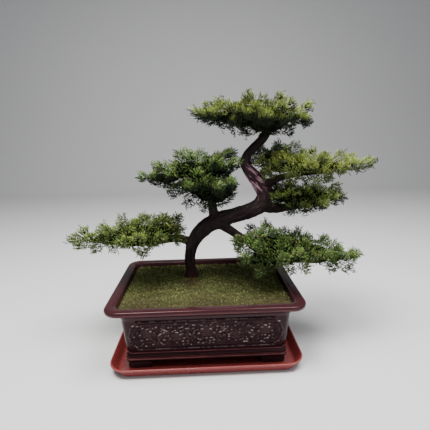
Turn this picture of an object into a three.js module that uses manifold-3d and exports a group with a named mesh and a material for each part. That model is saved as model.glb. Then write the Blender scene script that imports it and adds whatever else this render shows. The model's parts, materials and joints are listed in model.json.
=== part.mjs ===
// A conifer bonsai with a slanting trunk, in a glazed rectangular pot on a drip tray.
//
// Millimetres, +Z up. X runs along the pot's long side and -Y is the front.
// The origin is the centre of the tray's underside.

import * as THREE from 'three';
import { mergeVertices } from 'three/addons/utils/BufferGeometryUtils.js';
import Module from 'manifold-3d';

const wasm = await Module();
wasm.setup();

// Clearance between two pieces that touch, a little more round the curved wood,
// and how far a fused detail sinks into what carries it
const GAP = 0.3;
const WOOD_GAP = 0.42;
const SUNK = 1.5;

// Drip tray
const TRAY = { width: 400, depth: 280, height: 22, floor: 3, wall: 3, flare: 11, corner: 38 };

// Pot: the size over the rim, and heights above the tray's underside
const POT = {
  width: 400,
  depth: 285,
  rimCorner: 30,
  bodyCorner: 12,
  underside: 19,
  floorTop: 29,
};
const FOOT = { inset: 36, alongX: 50, alongY: 42, thickness: 13, chamfer: 5, taper: 5 };
const DRAIN = { radius: 13, fromCentre: 82, sides: 14 };
const SCREEN = { side: 40, thickness: 1.2, openings: 2, bar: 3 };

// Relief panel on the pot's two long sides, and the blossoms and scrolls on it
const PANEL = { halfWidth: 155, low: 47, high: 111, bead: 4, height: 2.4, notch: 9 };
const BLOSSOM = { each: 2, spacing: 60, radius: 17, middleRadius: 19, petals: 5, wave: 4 };
const SCROLL = { size: 11, steps: 6, curl: 1.1, rise: 1.8 };

// Soil and moss
const SOIL = { top: 134, inset: 22.5 };
const MOSS = { edge: 3, crown: 7, bump: 1.5, rings: 5, sectors: 28, holeRadius: 19 };

// Where the pot's outside runs, from the underside up: inset from the rim's outline, height
const POT_OUTSIDE = [
  [34, 19], [32, 20.5], [32, 25], [34.5, 26.5], [32.8, 28.5], [32.8, 34], [36, 37], [36, 38.5],
  [34.5, 42], [28.5, 114], [24, 126], [19, 130], [7, 135], [0.8, 138], [0, 144], [1.5, 147], [4, 148],
];

// And its inside, from the rim down to the floor
const POT_INSIDE = [[17, 147.5], [20.5, 145.5], [24, 134], [32, 122], [44, 40], [50, 29]];

// The trunk's centre line: x, y, z, radius
const TRUNK = [
  [-33, 46, 78, 8], [-33, 46, 104, 13], [-33, 46, 128, 16], [-33, 45, 142, 15], [-34, 44, 158, 12.5],
  [-35, 42, 190, 12.5], [-27, 38, 224, 14.5], [-6, 32, 256, 17], [30, 27, 281, 18], [68, 23, 293, 16.5],
  [103, 21, 303, 16.5], [130, 21, 317, 18], [141, 23, 340, 18.5], [128, 26, 366, 17], [109, 30, 389, 13.5],
  [97, 34, 408, 11], [102, 36, 427, 10], [120, 36, 446, 10], [137, 34, 464, 9.5], [147, 32, 484, 8.5],
  [148, 31, 507, 7],
];

// Main branches, each from inside the trunk, out under its pad and up into its last lobe
const BRANCHES = [
  [
    [25, 26, 281, 13], [55, 8, 266, 10], [90, -10, 246, 8], [132, -13, 221, 7], [190, -15, 204, 6],
    [244, -14, 189, 4.5], [284, -13, 192, 3],
  ],
  [
    [-27, 38, 226, 10], [-58, 36, 238, 9], [-104, 31, 236, 8], [-160, 28, 240, 6],
    [-214, 25, 234, 4], [-250, 24, 240, 2.5],
  ],
  [
    [26, 27, 280, 12], [22, 26, 310, 10], [16, 24, 340, 9], [2, 20, 372, 8], [-32, 16, 374, 6],
    [-66, 16, 366, 4], [-82, 16, 374, 2.5],
  ],
  [[130, 21, 316, 15], [168, 25, 307, 11], [208, 28, 310, 8], [248, 30, 314, 5], [266, 31, 324, 3]],
  [
    [133, 24, 352, 11], [150, 17, 368, 9], [176, 11, 380, 7], [222, 8, 387, 5.5],
    [266, 8, 390, 4], [290, 8, 397, 2.5],
  ],
  [[127, 27, 368, 9], [138, 46, 383, 8], [156, 72, 394, 6], [178, 92, 400, 4], [190, 102, 408, 3]],
];

// Side branches that carry the pads' far lobes, from inside the trunk or a main branch
const SIDE_BRANCHES = [
  [[147, 31, 481, 7], [116, 24, 492, 5], [76, 22, 494, 4], [42, 26, 502, 3]],
  [[147, 31, 481, 7], [174, 30, 488, 5], [192, 31, 498, 3]],
  [[142, 31, 484, 5], [126, 4, 481, 4], [116, -18, 488, 3]],
  [[142, 31, 484, 5], [122, 52, 490, 4], [104, 68, 500, 3]],
  [[17, 24, 338, 6], [2, -2, 348, 4], [-12, -24, 360, 3]],
  [[14, 24, 342, 6], [12, 42, 358, 4], [6, 56, 374, 3]],
  [[168, 13, 376, 5], [192, -8, 383, 4], [212, -24, 391, 3]],
  [[190, 27, 308, 5], [214, 8, 313, 4], [230, -4, 321, 3]],
  [[150, -14, 215, 5.5], [172, -36, 201, 4], [188, -52, 207, 3]],
  [[172, -14, 208, 5], [190, 12, 202, 4], [202, 30, 209, 3]],
  [[-96, 31, 235, 5], [-118, 8, 234, 4], [-136, -12, 241, 3]],
  [[-100, 31, 235, 5], [-124, 50, 236, 4], [-142, 64, 244, 3]],
];

// Roots from the trunk's foot down into the soil
const ROOTS = { count: 4, reach: 62, radius: 7, startHeight: 130, drop: 42, firstAngle: 0.5 };

// Foliage pads: the lobes of each pad's core, as centre x, y, z and half-sizes along X, Y, Z
const PADS = {
  top: [
    [38, 27, 510, 34, 36, 12], [88, 24, 519, 44, 48, 18], [142, 28, 515, 44, 48, 21],
    [192, 32, 507, 34, 34, 13], [98, 70, 509, 52, 30, 13], [116, -20, 500, 54, 32, 17],
    [140, 20, 489, 40, 36, 17],
  ],
  left_middle: [
    [-78, 16, 382, 34, 32, 15], [-30, 13, 400, 42, 42, 22], [26, 13, 402, 40, 40, 20],
    [-2, -24, 368, 52, 30, 20], [4, 56, 384, 46, 30, 16], [24, -14, 350, 44, 32, 24],
  ],
  right_upper: [
    [168, 4, 399, 34, 32, 13], [214, 6, 405, 44, 42, 17], [270, 8, 403, 40, 34, 13],
    [316, 6, 404, 32, 11, 6], [214, -28, 396, 46, 28, 14],
  ],
  right_middle: [
    [196, 24, 336, 42, 40, 21], [254, 30, 333, 44, 42, 18], [226, -8, 325, 50, 32, 16],
  ],
  back: [
    [164, 82, 418, 32, 28, 15], [194, 100, 420, 36, 30, 16],
  ],
  left_lower: [
    [-248, 24, 243, 34, 16, 8], [-212, 25, 250, 40, 32, 13], [-160, 28, 262, 44, 42, 18],
    [-100, 26, 260, 42, 40, 20], [-140, -14, 250, 48, 30, 14], [-146, 66, 253, 50, 30, 14],
  ],
  right_lower: [
    [126, -15, 238, 42, 38, 20], [180, -14, 230, 46, 46, 19], [238, -14, 214, 46, 42, 18],
    [286, -13, 199, 38, 28, 13], [190, -52, 217, 50, 32, 15], [204, 30, 219, 52, 30, 15],
    [134, -34, 209, 42, 34, 20],
  ],
};

// Sprays of needles that stand out of the cores. A spray sits in its core by the seat, shows
// its plain root above it, and is widest at the girdle. Tips keep apart by at least a distance
const SPRAY = {
  length: 40,
  radius: 3.2,
  seat: 5,
  plainRoot: 5,
  girdle: 0.58,
  needle: 11,
  lean: 10,
  clear: 1,
  apart: 38,
};

// Places tried for sprays on a lobe: one to an area, from near its top to well under its side,
// turned away from the pad's middle by a share and upwards by a rise
const PLACES = { area: 150, highest: 0.97, lowest: -0.75, outwards: 0.45, rise: 0.25, tilt: 0.85 };
const GOLDEN_ANGLE = Math.PI * (3 - Math.sqrt(5));

// Colours, roughness and metalness
const FINISHES = {
  tray: { color: 0x8f3d37, roughness: 0.35, metalness: 0 },
  pot: { color: 0x3d2326, roughness: 0.22, metalness: 0 },
  soil: { color: 0x2e2219, roughness: 0.95, metalness: 0 },
  moss: { color: 0x5c6030, roughness: 0.95, metalness: 0 },
  bark: { color: 0x33232a, roughness: 0.85, metalness: 0 },
  young: { color: 0x7d9438, roughness: 0.7, metalness: 0 },
  mature: { color: 0x46602c, roughness: 0.7, metalness: 0 },
  screen: { color: 0x1e2a22, roughness: 0.6, metalness: 0 },
};

// Solids and meshes

function manifoldOf(geometry) {
  const bare = geometry.index ? geometry.toNonIndexed() : geometry.clone();
  bare.deleteAttribute('normal');
  bare.deleteAttribute('uv');
  const merged = mergeVertices(bare, 1e-4);
  const vertProperties = new Float32Array(merged.attributes.position.array);
  const triVerts = new Uint32Array(merged.index.array);
  return new wasm.Manifold(new wasm.Mesh({ numProp: 3, vertProperties, triVerts }));
}

function geometryOf(manifold) {
  const { numProp, vertProperties, triVerts } = manifold.getMesh();
  const positions = new Float32Array((vertProperties.length / numProp) * 3);
  for (let v = 0; v < positions.length / 3; v++) {
    positions.set(vertProperties.subarray(v * numProp, v * numProp + 3), v * 3);
  }
  const geometry = new THREE.BufferGeometry();
  geometry.setAttribute('position', new THREE.BufferAttribute(positions, 3));
  geometry.setIndex(new THREE.BufferAttribute(new Uint32Array(triVerts), 1));
  geometry.computeVertexNormals();
  return geometry;
}

function geometryFromTriangles(corners) {
  const geometry = new THREE.BufferGeometry();
  geometry.setFromPoints(corners);
  return geometry;
}

// Several rings of points, joined ring to ring and closed at both ends
function loft(rings) {
  const corners = [];
  const sides = rings[0].length;
  for (let i = 0; i + 1 < rings.length; i++) {
    for (let j = 0; j < sides; j++) {
      const k = (j + 1) % sides;
      corners.push(rings[i][j], rings[i][k], rings[i + 1][k]);
      corners.push(rings[i][j], rings[i + 1][k], rings[i + 1][j]);
    }
  }
  const first = rings[0];
  const last = rings[rings.length - 1];
  const firstMiddle = middleOf(first);
  const lastMiddle = middleOf(last);
  for (let j = 0; j < sides; j++) {
    const k = (j + 1) % sides;
    corners.push(firstMiddle, first[k], first[j]);
    corners.push(lastMiddle, last[j], last[k]);
  }
  return geometryFromTriangles(corners);
}

function middleOf(points) {
  const sum = new THREE.Vector3();
  points.forEach((point) => sum.add(point));
  return sum.divideScalar(points.length);
}

// A rounded rectangle of points, counter-clockwise from above
function roundedRectangle(halfWidth, halfDepth, radius, z, cornerSteps = 3) {
  const ring = [];
  for (let corner = 0; corner < 4; corner++) {
    const sideX = corner === 0 || corner === 3 ? 1 : -1;
    const sideY = corner < 2 ? 1 : -1;
    for (let step = 0; step <= cornerSteps; step++) {
      const angle = (corner + step / cornerSteps) * (Math.PI / 2);
      const x = sideX * (halfWidth - radius) + radius * Math.cos(angle);
      const y = sideY * (halfDepth - radius) + radius * Math.sin(angle);
      ring.push(new THREE.Vector3(x, y, z));
    }
  }
  return ring;
}

// Rings round a curve through points of x, y, z, radius. Bark adds flutes to the radius
function limb(points, sides, steps, flute = 0) {
  const curve = new THREE.CatmullRomCurve3(points.map(([x, y, z]) => new THREE.Vector3(x, y, z)));
  const radii = new THREE.SplineCurve(points.map(([, , , radius], i) => new THREE.Vector2(i, radius)));
  const rings = [];
  const side = new THREE.Vector3(1, 0, 0.1);
  for (let step = 0; step <= steps; step++) {
    const t = step / steps;
    const centre = curve.getPoint(t);
    const tangent = curve.getTangent(t);
    side.addScaledVector(tangent, -side.dot(tangent)).normalize();
    const across = tangent.clone().cross(side);
    const ring = [];
    for (let j = 0; j < sides; j++) {
      const angle = (j / sides) * Math.PI * 2;
      const ridge = Math.cos(3 * angle + 5 * t) + 0.6 * Math.cos(5 * angle - 9 * t + 1);
      const radius = radii.getPoint(t).y * (1 + flute * ridge);
      const point = centre.clone().addScaledVector(side, radius * Math.cos(angle));
      ring.push(point.addScaledVector(across, radius * Math.sin(angle)));
    }
    rings.push(ring);
  }
  return rings;
}

// The same rings, each grown outwards
function grown(rings, by) {
  return rings.map((ring) => {
    const centre = middleOf(ring);
    return ring.map((point) => point.clone().add(point.clone().sub(centre).setLength(by)));
  });
}

// Drip tray

function trayRing(inset, z) {
  const radius = TRAY.corner - inset * 0.6;
  return roundedRectangle(TRAY.width / 2 - inset, TRAY.depth / 2 - inset, radius, z, 4);
}

function tray() {
  const base = TRAY.flare;
  const wall = TRAY.wall;
  return manifoldOf(loft([
    trayRing(base + 1.5, 0),
    trayRing(base, 1.5),
    trayRing(base * 0.3, TRAY.height - 5),
    trayRing(0, TRAY.height - 3.5),
    trayRing(0, TRAY.height - 1),
    trayRing(1, TRAY.height),
    trayRing(wall, TRAY.height),
    trayRing(base + wall - 1, TRAY.floor + 2),
    trayRing(base + wall + 1.5, TRAY.floor),
  ]));
}

// Pot

function potRing(inset, z) {
  const blend = Math.min(inset / 32, 1);
  const radius = THREE.MathUtils.lerp(POT.rimCorner, POT.bodyCorner, blend);
  return roundedRectangle(POT.width / 2 - inset, POT.depth / 2 - inset, radius, z);
}

// How far the outside wall stands in from the rim at a height
function wallInset(z) {
  const above = POT_OUTSIDE.findIndex(([, height]) => height >= z);
  const [lowInset, low] = POT_OUTSIDE[above - 1];
  const [highInset, high] = POT_OUTSIDE[above];
  return THREE.MathUtils.mapLinear(z, low, high, lowInset, highInset);
}

// A point on the front wall, raised outwards by a height
function onFrontWall(x, z, raised) {
  return new THREE.Vector3(x, wallInset(z) - POT.depth / 2 - raised, z);
}

// A ridge with three faces along a path of [x, z] points on the front wall
function ridge(path, width, closed = false) {
  const rings = path.map(([x, z], i) => {
    const [ax, az] = path[closed ? (i + path.length - 1) % path.length : Math.max(i - 1, 0)];
    const [bx, bz] = path[closed ? (i + 1) % path.length : Math.min(i + 1, path.length - 1)];
    const across = new THREE.Vector2(az - bz, bx - ax).setLength(width / 2);
    return [
      onFrontWall(x - across.x, z - across.y, -SUNK),
      onFrontWall(x + across.x, z + across.y, -SUNK),
      onFrontWall(x, z, PANEL.height),
    ];
  });
  return closed ? closedRidge(rings) : loft(rings);
}

function closedRidge(rings) {
  const corners = [];
  rings.forEach((ring, i) => {
    const next = rings[(i + 1) % rings.length];
    for (let j = 0; j < 3; j++) {
      const k = (j + 1) % 3;
      corners.push(ring[j], ring[k], next[k], ring[j], next[k], next[j]);
    }
  });
  return geometryFromTriangles(corners);
}

// A raised blossom, dished between its petals
function blossom(x, z, radius) {
  const outline = (raised, scale) => {
    const ring = [];
    for (let j = 0; j < BLOSSOM.petals * 2; j++) {
      const reach = radius * scale * (j % 2 === 0 ? 1 : 0.72);
      const angle = (j / BLOSSOM.petals) * Math.PI + Math.PI / 2;
      ring.push(onFrontWall(x + reach * Math.cos(angle), z + reach * Math.sin(angle), raised));
    }
    return ring;
  };
  return loft([outline(-SUNK, 1), outline(PANEL.height, 0.6)]);
}

// A scroll that curls one way at one end and back at the other, flipped by the sign
function scroll(x, z, sign) {
  const { size, steps, curl, rise } = SCROLL;
  const path = [];
  for (let i = 0; i <= steps; i++) {
    const part = (i / steps) * 2 - 1;
    const turn = part * Math.PI * curl;
    const reach = size * (1 - 0.45 * Math.abs(part));
    const up = part * size * rise + reach * 0.35 * Math.cos(turn);
    path.push([x + reach * Math.sin(turn), z + sign * up]);
  }
  return ridge(path, PANEL.bead);
}

// The panel's frame: straight above and below, notched at the corners, bowed at the ends
function panelFrame() {
  const middle = (PANEL.low + PANEL.high) / 2;
  const half = (PANEL.high - PANEL.low) / 2;
  const quarter = [];
  for (let step = 0; step <= 3; step++) {
    const angle = (step / 3) * (Math.PI / 2);
    const x = PANEL.halfWidth - PANEL.notch * 0.6 - PANEL.notch * Math.cos(angle);
    quarter.push([x, half - PANEL.notch * Math.sin(angle)]);
  }
  quarter.reverse();
  const path = [];
  const add = (points, signX, signZ) => {
    points.forEach(([x, z]) => path.push([signX * x, middle + signZ * z]));
  };
  add([[PANEL.halfWidth, 0]], 1, 1);
  add(quarter, 1, 1);
  add([...quarter].reverse(), -1, 1);
  add([[PANEL.halfWidth, 0]], -1, 1);
  add(quarter, -1, -1);
  add([...quarter].reverse(), 1, -1);
  return ridge(path, PANEL.bead, true);
}

// Blossoms along a wavy line, with a scroll between each two
function frontRelief() {
  const middle = (PANEL.low + PANEL.high) / 2;
  const pieces = [panelFrame()];
  const { each, spacing, radius, middleRadius, wave } = BLOSSOM;
  for (let i = -each; i <= each; i++) {
    const sign = i % 2 === 0 ? 1 : -1;
    pieces.push(blossom(i * spacing, middle + sign * wave, i === 0 ? middleRadius : radius));
    if (i < each) {
      pieces.push(scroll((i + 0.5) * spacing, middle, sign));
    }
  }
  return pieces.map(manifoldOf);
}

// An L-shaped corner foot, standing on the tray's floor
function foot(signX, signY) {
  const { inset, alongX, alongY, thickness, chamfer, taper } = FOOT;
  const at = (inX, inY) => new THREE.Vector2(
    signX * (POT.width / 2 - inset - inX),
    signY * (POT.depth / 2 - inset - inY),
  );
  const outline = new THREE.Shape([
    at(chamfer, 0),
    at(alongX, 0),
    at(alongX - taper, thickness),
    at(thickness, thickness),
    at(thickness, alongY - taper),
    at(0, alongY),
    at(0, chamfer),
  ]);
  const bottom = TRAY.floor + GAP;
  const depth = POT.underside + SUNK - bottom;
  const geometry = new THREE.ExtrudeGeometry(outline, { depth, bevelEnabled: false });
  return manifoldOf(geometry.translate(0, 0, bottom));
}

// A drain hole's tool, well past the floor of the pot on both sides
function drain(x) {
  const length = 4 * (POT.floorTop - POT.underside);
  const geometry = new THREE.CylinderGeometry(DRAIN.radius, DRAIN.radius, length, DRAIN.sides);
  return manifoldOf(geometry.rotateX(Math.PI / 2).translate(x, 0, POT.underside));
}

function pot() {
  const rings = [...POT_OUTSIDE, ...POT_INSIDE].map(([inset, z]) => potRing(inset, z));
  let body = manifoldOf(loft(rings));
  const relief = frontRelief();
  relief.forEach((piece) => {
    body = body.add(piece).add(piece.rotate([0, 0, 180]));
  });
  for (const signX of [-1, 1]) {
    for (const signY of [-1, 1]) {
      body = body.add(foot(signX, signY));
    }
    body = body.subtract(drain(signX * DRAIN.fromCentre));
  }
  return body;
}

// Screens over the drain holes

function screen(x) {
  const { side, thickness, openings, bar } = SCREEN;
  const pitch = (side - bar) / openings;
  let plate = manifoldOf(new THREE.BoxGeometry(side, side, thickness));
  for (let i = 0; i < openings; i++) {
    for (let j = 0; j < openings; j++) {
      const opening = new THREE.BoxGeometry(pitch - bar, pitch - bar, 2 * thickness);
      opening.translate((i - (openings - 1) / 2) * pitch, (j - (openings - 1) / 2) * pitch, 0);
      plate = plate.subtract(manifoldOf(opening));
    }
  }
  return plate.translate([x, 0, POT.floorTop + GAP + thickness / 2]);
}

// The room that a screen takes in the soil
function screenRoom(x) {
  const side = SCREEN.side + 2 * GAP;
  const height = SCREEN.thickness + GAP;
  const room = new THREE.BoxGeometry(side, side, 2 * height);
  return manifoldOf(room.translate(x, 0, POT.floorTop + GAP));
}

// Trunk, branches and roots, one grown piece

function root(i) {
  const angle = ROOTS.firstAngle + (i / ROOTS.count) * Math.PI * 2;
  const [x, y] = TRUNK[3];
  const points = [0, 0.3, 0.65, 1].map((t) => {
    const reach = 4 + t * (ROOTS.reach - 8 * (i % 2));
    const wander = angle + 0.35 * Math.sin(3 * t + i);
    const z = ROOTS.startHeight - ROOTS.drop * t * t;
    return [x + reach * Math.cos(wander), y + reach * Math.sin(wander), z, ROOTS.radius * (1 - 0.72 * t)];
  });
  return limb(points, 5, 3);
}

function woodyRings() {
  const main = BRANCHES.map((points) => limb(points, 6, points.length - 1, 0.04));
  const side = SIDE_BRANCHES.map((points) => limb(points, 4, points.length - 1));
  const roots = [...Array(ROOTS.count).keys()].map(root);
  return { stem: limb(TRUNK, 10, TRUNK.length - 1, 0.06), main, side, roots };
}

const WOOD = woodyRings();

function fused(solids) {
  return solids.reduce((whole, solid) => whole.add(solid));
}

function largestBody(manifold) {
  const bodies = manifold.decompose();
  return bodies.reduce((best, body) => (body.volume() > best.volume() ? body : best));
}

function trunk() {
  const rings = [WOOD.stem, ...WOOD.main, ...WOOD.side, ...WOOD.roots];
  return fused(rings.map((each) => manifoldOf(loft(each))));
}

// Soil and moss

function soil() {
  const bottom = POT.floorTop + GAP;
  const inside = POT_INSIDE.filter(([, z]) => z > bottom && z < SOIL.top);
  const rings = [potRing(POT_INSIDE.at(-1)[0] + 1, bottom)];
  inside.reverse().forEach(([inset, z]) => rings.push(potRing(inset + GAP + 0.2, z)));
  rings.push(potRing(inside.at(-1)[0] - 0.8, SOIL.top));
  let body = manifoldOf(loft(rings));
  for (const each of [WOOD.stem, ...WOOD.roots]) {
    body = body.subtract(manifoldOf(loft(grown(each, WOOD_GAP))));
  }
  for (const signX of [-1, 1]) {
    body = body.subtract(screenRoom(signX * DRAIN.fromCentre));
  }
  return largestBody(body);
}

function moss() {
  const hole = new THREE.Vector2(TRUNK[3][0], TRUNK[3][1]);
  const bottom = SOIL.top + GAP;
  const edgeHalf = new THREE.Vector2(POT.width / 2 - SOIL.inset - 2, POT.depth / 2 - SOIL.inset - 2);
  const corner = POT.rimCorner - SOIL.inset * 0.5;

  // Distance from the hole's centre to the moss edge in a direction
  const reachTo = (angle) => {
    let low = 0;
    let high = POT.width;
    for (let i = 0; i < 30; i++) {
      const middle = (low + high) / 2;
      const x = Math.abs(hole.x + middle * Math.cos(angle)) - (edgeHalf.x - corner);
      const y = Math.abs(hole.y + middle * Math.sin(angle)) - (edgeHalf.y - corner);
      const outside = Math.hypot(Math.max(x, 0), Math.max(y, 0)) + Math.min(Math.max(x, y), 0) - corner;
      [low, high] = outside > 0 ? [low, middle] : [middle, high];
    }
    return low;
  };

  // The height of the bumpy top, lowest at the pot's wall
  const topAt = (x, y, inwards) => {
    const dome = MOSS.edge + (MOSS.crown - MOSS.edge) * Math.sin(Math.min(inwards * 3, 1) * (Math.PI / 2));
    const bumps = Math.sin(x * 0.11 + 1.3 * Math.sin(y * 0.07)) * Math.cos(y * 0.13 + Math.sin(x * 0.05));
    return bottom + dome + MOSS.bump * bumps * Math.min(inwards * 4, 1);
  };

  const ringAt = (k, onTop) => {
    const outwards = k / MOSS.rings;
    const ring = [];
    for (let j = 0; j < MOSS.sectors; j++) {
      const angle = (j / MOSS.sectors) * Math.PI * 2;
      const reach = THREE.MathUtils.lerp(MOSS.holeRadius, reachTo(angle), outwards ** 0.8);
      const x = hole.x + reach * Math.cos(angle);
      const y = hole.y + reach * Math.sin(angle);
      ring.push(new THREE.Vector3(x, y, onTop ? topAt(x, y, 1 - outwards) : bottom));
    }
    return ring;
  };

  const rings = [ringAt(0, false), ringAt(MOSS.rings, false)];
  for (let k = MOSS.rings; k >= 0; k--) {
    rings.push(ringAt(k, true));
  }
  const corners = [];
  rings.forEach((ring, i) => {
    const next = rings[(i + 1) % rings.length];
    ring.forEach((point, j) => {
      const k = (j + 1) % ring.length;
      corners.push(point, ring[k], next[k], point, next[k], next[j]);
    });
  });
  return manifoldOf(geometryFromTriangles(corners));
}

// Foliage

// A slim spindle that ends in a needle, with more needles drawn out of the faces round it
function spray(base, direction, length, spin) {
  const side = new THREE.Vector3(direction.y, -direction.x, 0.3).cross(direction).normalize();
  const across = direction.clone().cross(side);
  const ringAt = (t, radius, turn) => [0, 1, 2].map((j) => {
    const angle = spin + turn + (j * Math.PI * 2) / 3;
    const point = base.clone().addScaledVector(direction, t * length);
    point.addScaledVector(side, radius * Math.cos(angle));
    return point.addScaledVector(across, radius * Math.sin(angle));
  });
  const emerging = (SPRAY.seat + SPRAY.plainRoot) / length;
  const root = ringAt(0, SPRAY.radius * 0.6, 0);
  const low = ringAt(emerging, SPRAY.radius, 0);
  const high = ringAt(SPRAY.girdle, SPRAY.radius * 0.9, Math.PI / 3);
  const tip = base.clone().addScaledVector(direction, length);
  const corners = [root[2], root[1], root[0]];
  const faces = [];
  for (let j = 0; j < 3; j++) {
    const k = (j + 1) % 3;
    corners.push(root[j], root[k], low[k], root[j], low[k], low[j]);
    corners.push(high[j], high[k], tip);
    faces.push([low[j], low[k], high[j]], [high[j], low[k], high[k]]);
  }
  for (const [a, b, c] of faces) {
    const normal = b.clone().sub(a).cross(c.clone().sub(a)).normalize();
    const point = middleOf([a, b, c]).addScaledVector(normal, SPRAY.needle);
    point.addScaledVector(direction, SPRAY.lean);
    corners.push(a, b, point, b, c, point, c, a, point);
  }
  return manifoldOf(geometryFromTriangles(corners));
}

function lobeSolid([x, y, z, alongX, alongY, alongZ]) {
  const geometry = new THREE.OctahedronGeometry(1, 1);
  return manifoldOf(geometry.rotateZ(0.3).scale(alongX, alongY, alongZ).translate(x, y, z));
}

// Below 1 inside the lobe grown by a margin
function depthInLobe(point, [x, y, z, alongX, alongY, alongZ], margin) {
  return Math.hypot(
    (point.x - x) / (alongX + margin),
    (point.y - y) / (alongY + margin),
    (point.z - z) / (alongZ + margin),
  );
}

function distanceToStem(point, rings) {
  let nearest = Infinity;
  for (const ring of rings) {
    const centre = middleOf(ring);
    nearest = Math.min(nearest, point.distanceTo(centre) - ring[0].distanceTo(centre));
  }
  return nearest;
}

// Places for sprays over a lobe, turned up and away from the middle of the pad
function spraysOnLobe(lobe, lobeIndex, padCentre) {
  const [x, y, z, alongX, alongY, alongZ] = lobe;
  const count = Math.round((alongX * alongY * Math.PI) / PLACES.area);
  const places = [];
  for (let i = 0; i < count; i++) {
    const height = THREE.MathUtils.lerp(PLACES.highest, PLACES.lowest, (i + 0.5) / count);
    const spread = Math.sqrt(1 - height * height);
    const angle = i * GOLDEN_ANGLE + lobeIndex * 1.7;
    const outwards = new THREE.Vector3(Math.cos(angle), Math.sin(angle), 0).multiplyScalar(spread);
    const base = new THREE.Vector3(x + alongX * outwards.x, y + alongY * outwards.y, z + alongZ * height);
    const fromPad = new THREE.Vector3(base.x - padCentre.x, base.y - padCentre.y, 0).normalize();
    const direction = outwards.addScaledVector(fromPad, PLACES.outwards);
    direction.z = PLACES.rise + PLACES.tilt * height;
    direction.normalize();
    base.addScaledVector(direction, -SPRAY.seat);
    places.push({ base, direction, spin: i * 1.1 });
  }
  return places;
}

function along({ base, direction }, part) {
  return base.clone().addScaledVector(direction, SPRAY.length * part);
}

// Whether a spray stands clear of the wood, the other pads and the sprays placed before
function isClear(spray, lobe, ownLobes, otherLobes, ownSprays, otherSprays) {
  const reach = SPRAY.radius + SPRAY.needle + SPRAY.clear;
  const points = [along(spray, 0.6), along(spray, 1)];
  const buried = ownLobes.some((own) => own !== lobe && depthInLobe(points[0], own, 4) < 1);
  const inOther = otherLobes.some((other) => points.some((point) => depthInLobe(point, other, reach) < 1));
  const nearWood = [WOOD.stem, ...WOOD.main, ...WOOD.side].some((rings) => (
    [0.35, 0.6, 0.8, 1].some((part) => distanceToStem(along(spray, part), rings) < reach)
  ));
  const nearOwn = ownSprays.some((own) => points[1].distanceTo(along(own, 1)) < SPRAY.apart);
  const nearOther = otherSprays.some((other) => (
    points.some((point) => [0.4, 0.7, 1].some((part) => point.distanceTo(along(other, part)) < 2 * reach))
  ));
  return !(buried || inOther || nearWood || nearOwn || nearOther);
}

function foliagePads() {
  const pads = {};
  const placedSoFar = [];
  for (const [name, lobes] of Object.entries(PADS)) {
    const centre = middleOf(lobes.map(([x, y, z]) => new THREE.Vector3(x, y, z)));
    const otherLobes = Object.entries(PADS).filter(([other]) => other !== name).flatMap(([, each]) => each);
    const sprays = [];
    lobes.forEach((lobe, i) => spraysOnLobe(lobe, i, centre).forEach((each) => {
      if (isClear(each, lobe, lobes, otherLobes, sprays, placedSoFar)) {
        sprays.push(each);
      }
    }));
    placedSoFar.push(...sprays);
    let body = fused(lobes.map(lobeSolid));
    for (const rings of [WOOD.stem, ...WOOD.main, ...WOOD.side]) {
      body = body.subtract(manifoldOf(loft(grown(rings, WOOD_GAP))));
    }
    sprays.forEach(({ base, direction, spin }) => {
      body = body.add(spray(base, direction, SPRAY.length, spin));
    });
    pads[name] = largestBody(body);
  }
  return pads;
}

// The whole plant in its pot

function mesh(name, manifold, finish) {
  const object = new THREE.Mesh(geometryOf(manifold), new THREE.MeshStandardMaterial(finish));
  object.name = name;
  return object;
}

const bonsai = new THREE.Group();
bonsai.add(mesh('tray', tray(), FINISHES.tray));
bonsai.add(mesh('pot', pot(), FINISHES.pot));
bonsai.add(mesh('drain_screen_left', screen(-DRAIN.fromCentre), FINISHES.screen));
bonsai.add(mesh('drain_screen_right', screen(DRAIN.fromCentre), FINISHES.screen));
bonsai.add(mesh('soil', soil(), FINISHES.soil));
bonsai.add(mesh('moss', moss(), FINISHES.moss));
bonsai.add(mesh('trunk', trunk(), FINISHES.bark));
for (const [name, pad] of Object.entries(foliagePads())) {
  const finish = name === 'top' || name === 'right_upper' ? FINISHES.young : FINISHES.mature;
  bonsai.add(mesh(`pad_${name}`, pad, finish));
}

export default bonsai;
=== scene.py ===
"""A conifer bonsai with layered pads of short needles, in a glazed pot on a drip tray.

Metres, +Z up. X runs along the pot's long side, -Y is the front, and the origin is the centre of
the tray's underside.
"""

import json
import math

import bmesh
import bpy
import numpy as np
from bpy.props import FloatProperty, FloatVectorProperty, IntProperty, PointerProperty
from mathutils import Matrix, Vector, kdtree, noise

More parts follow.
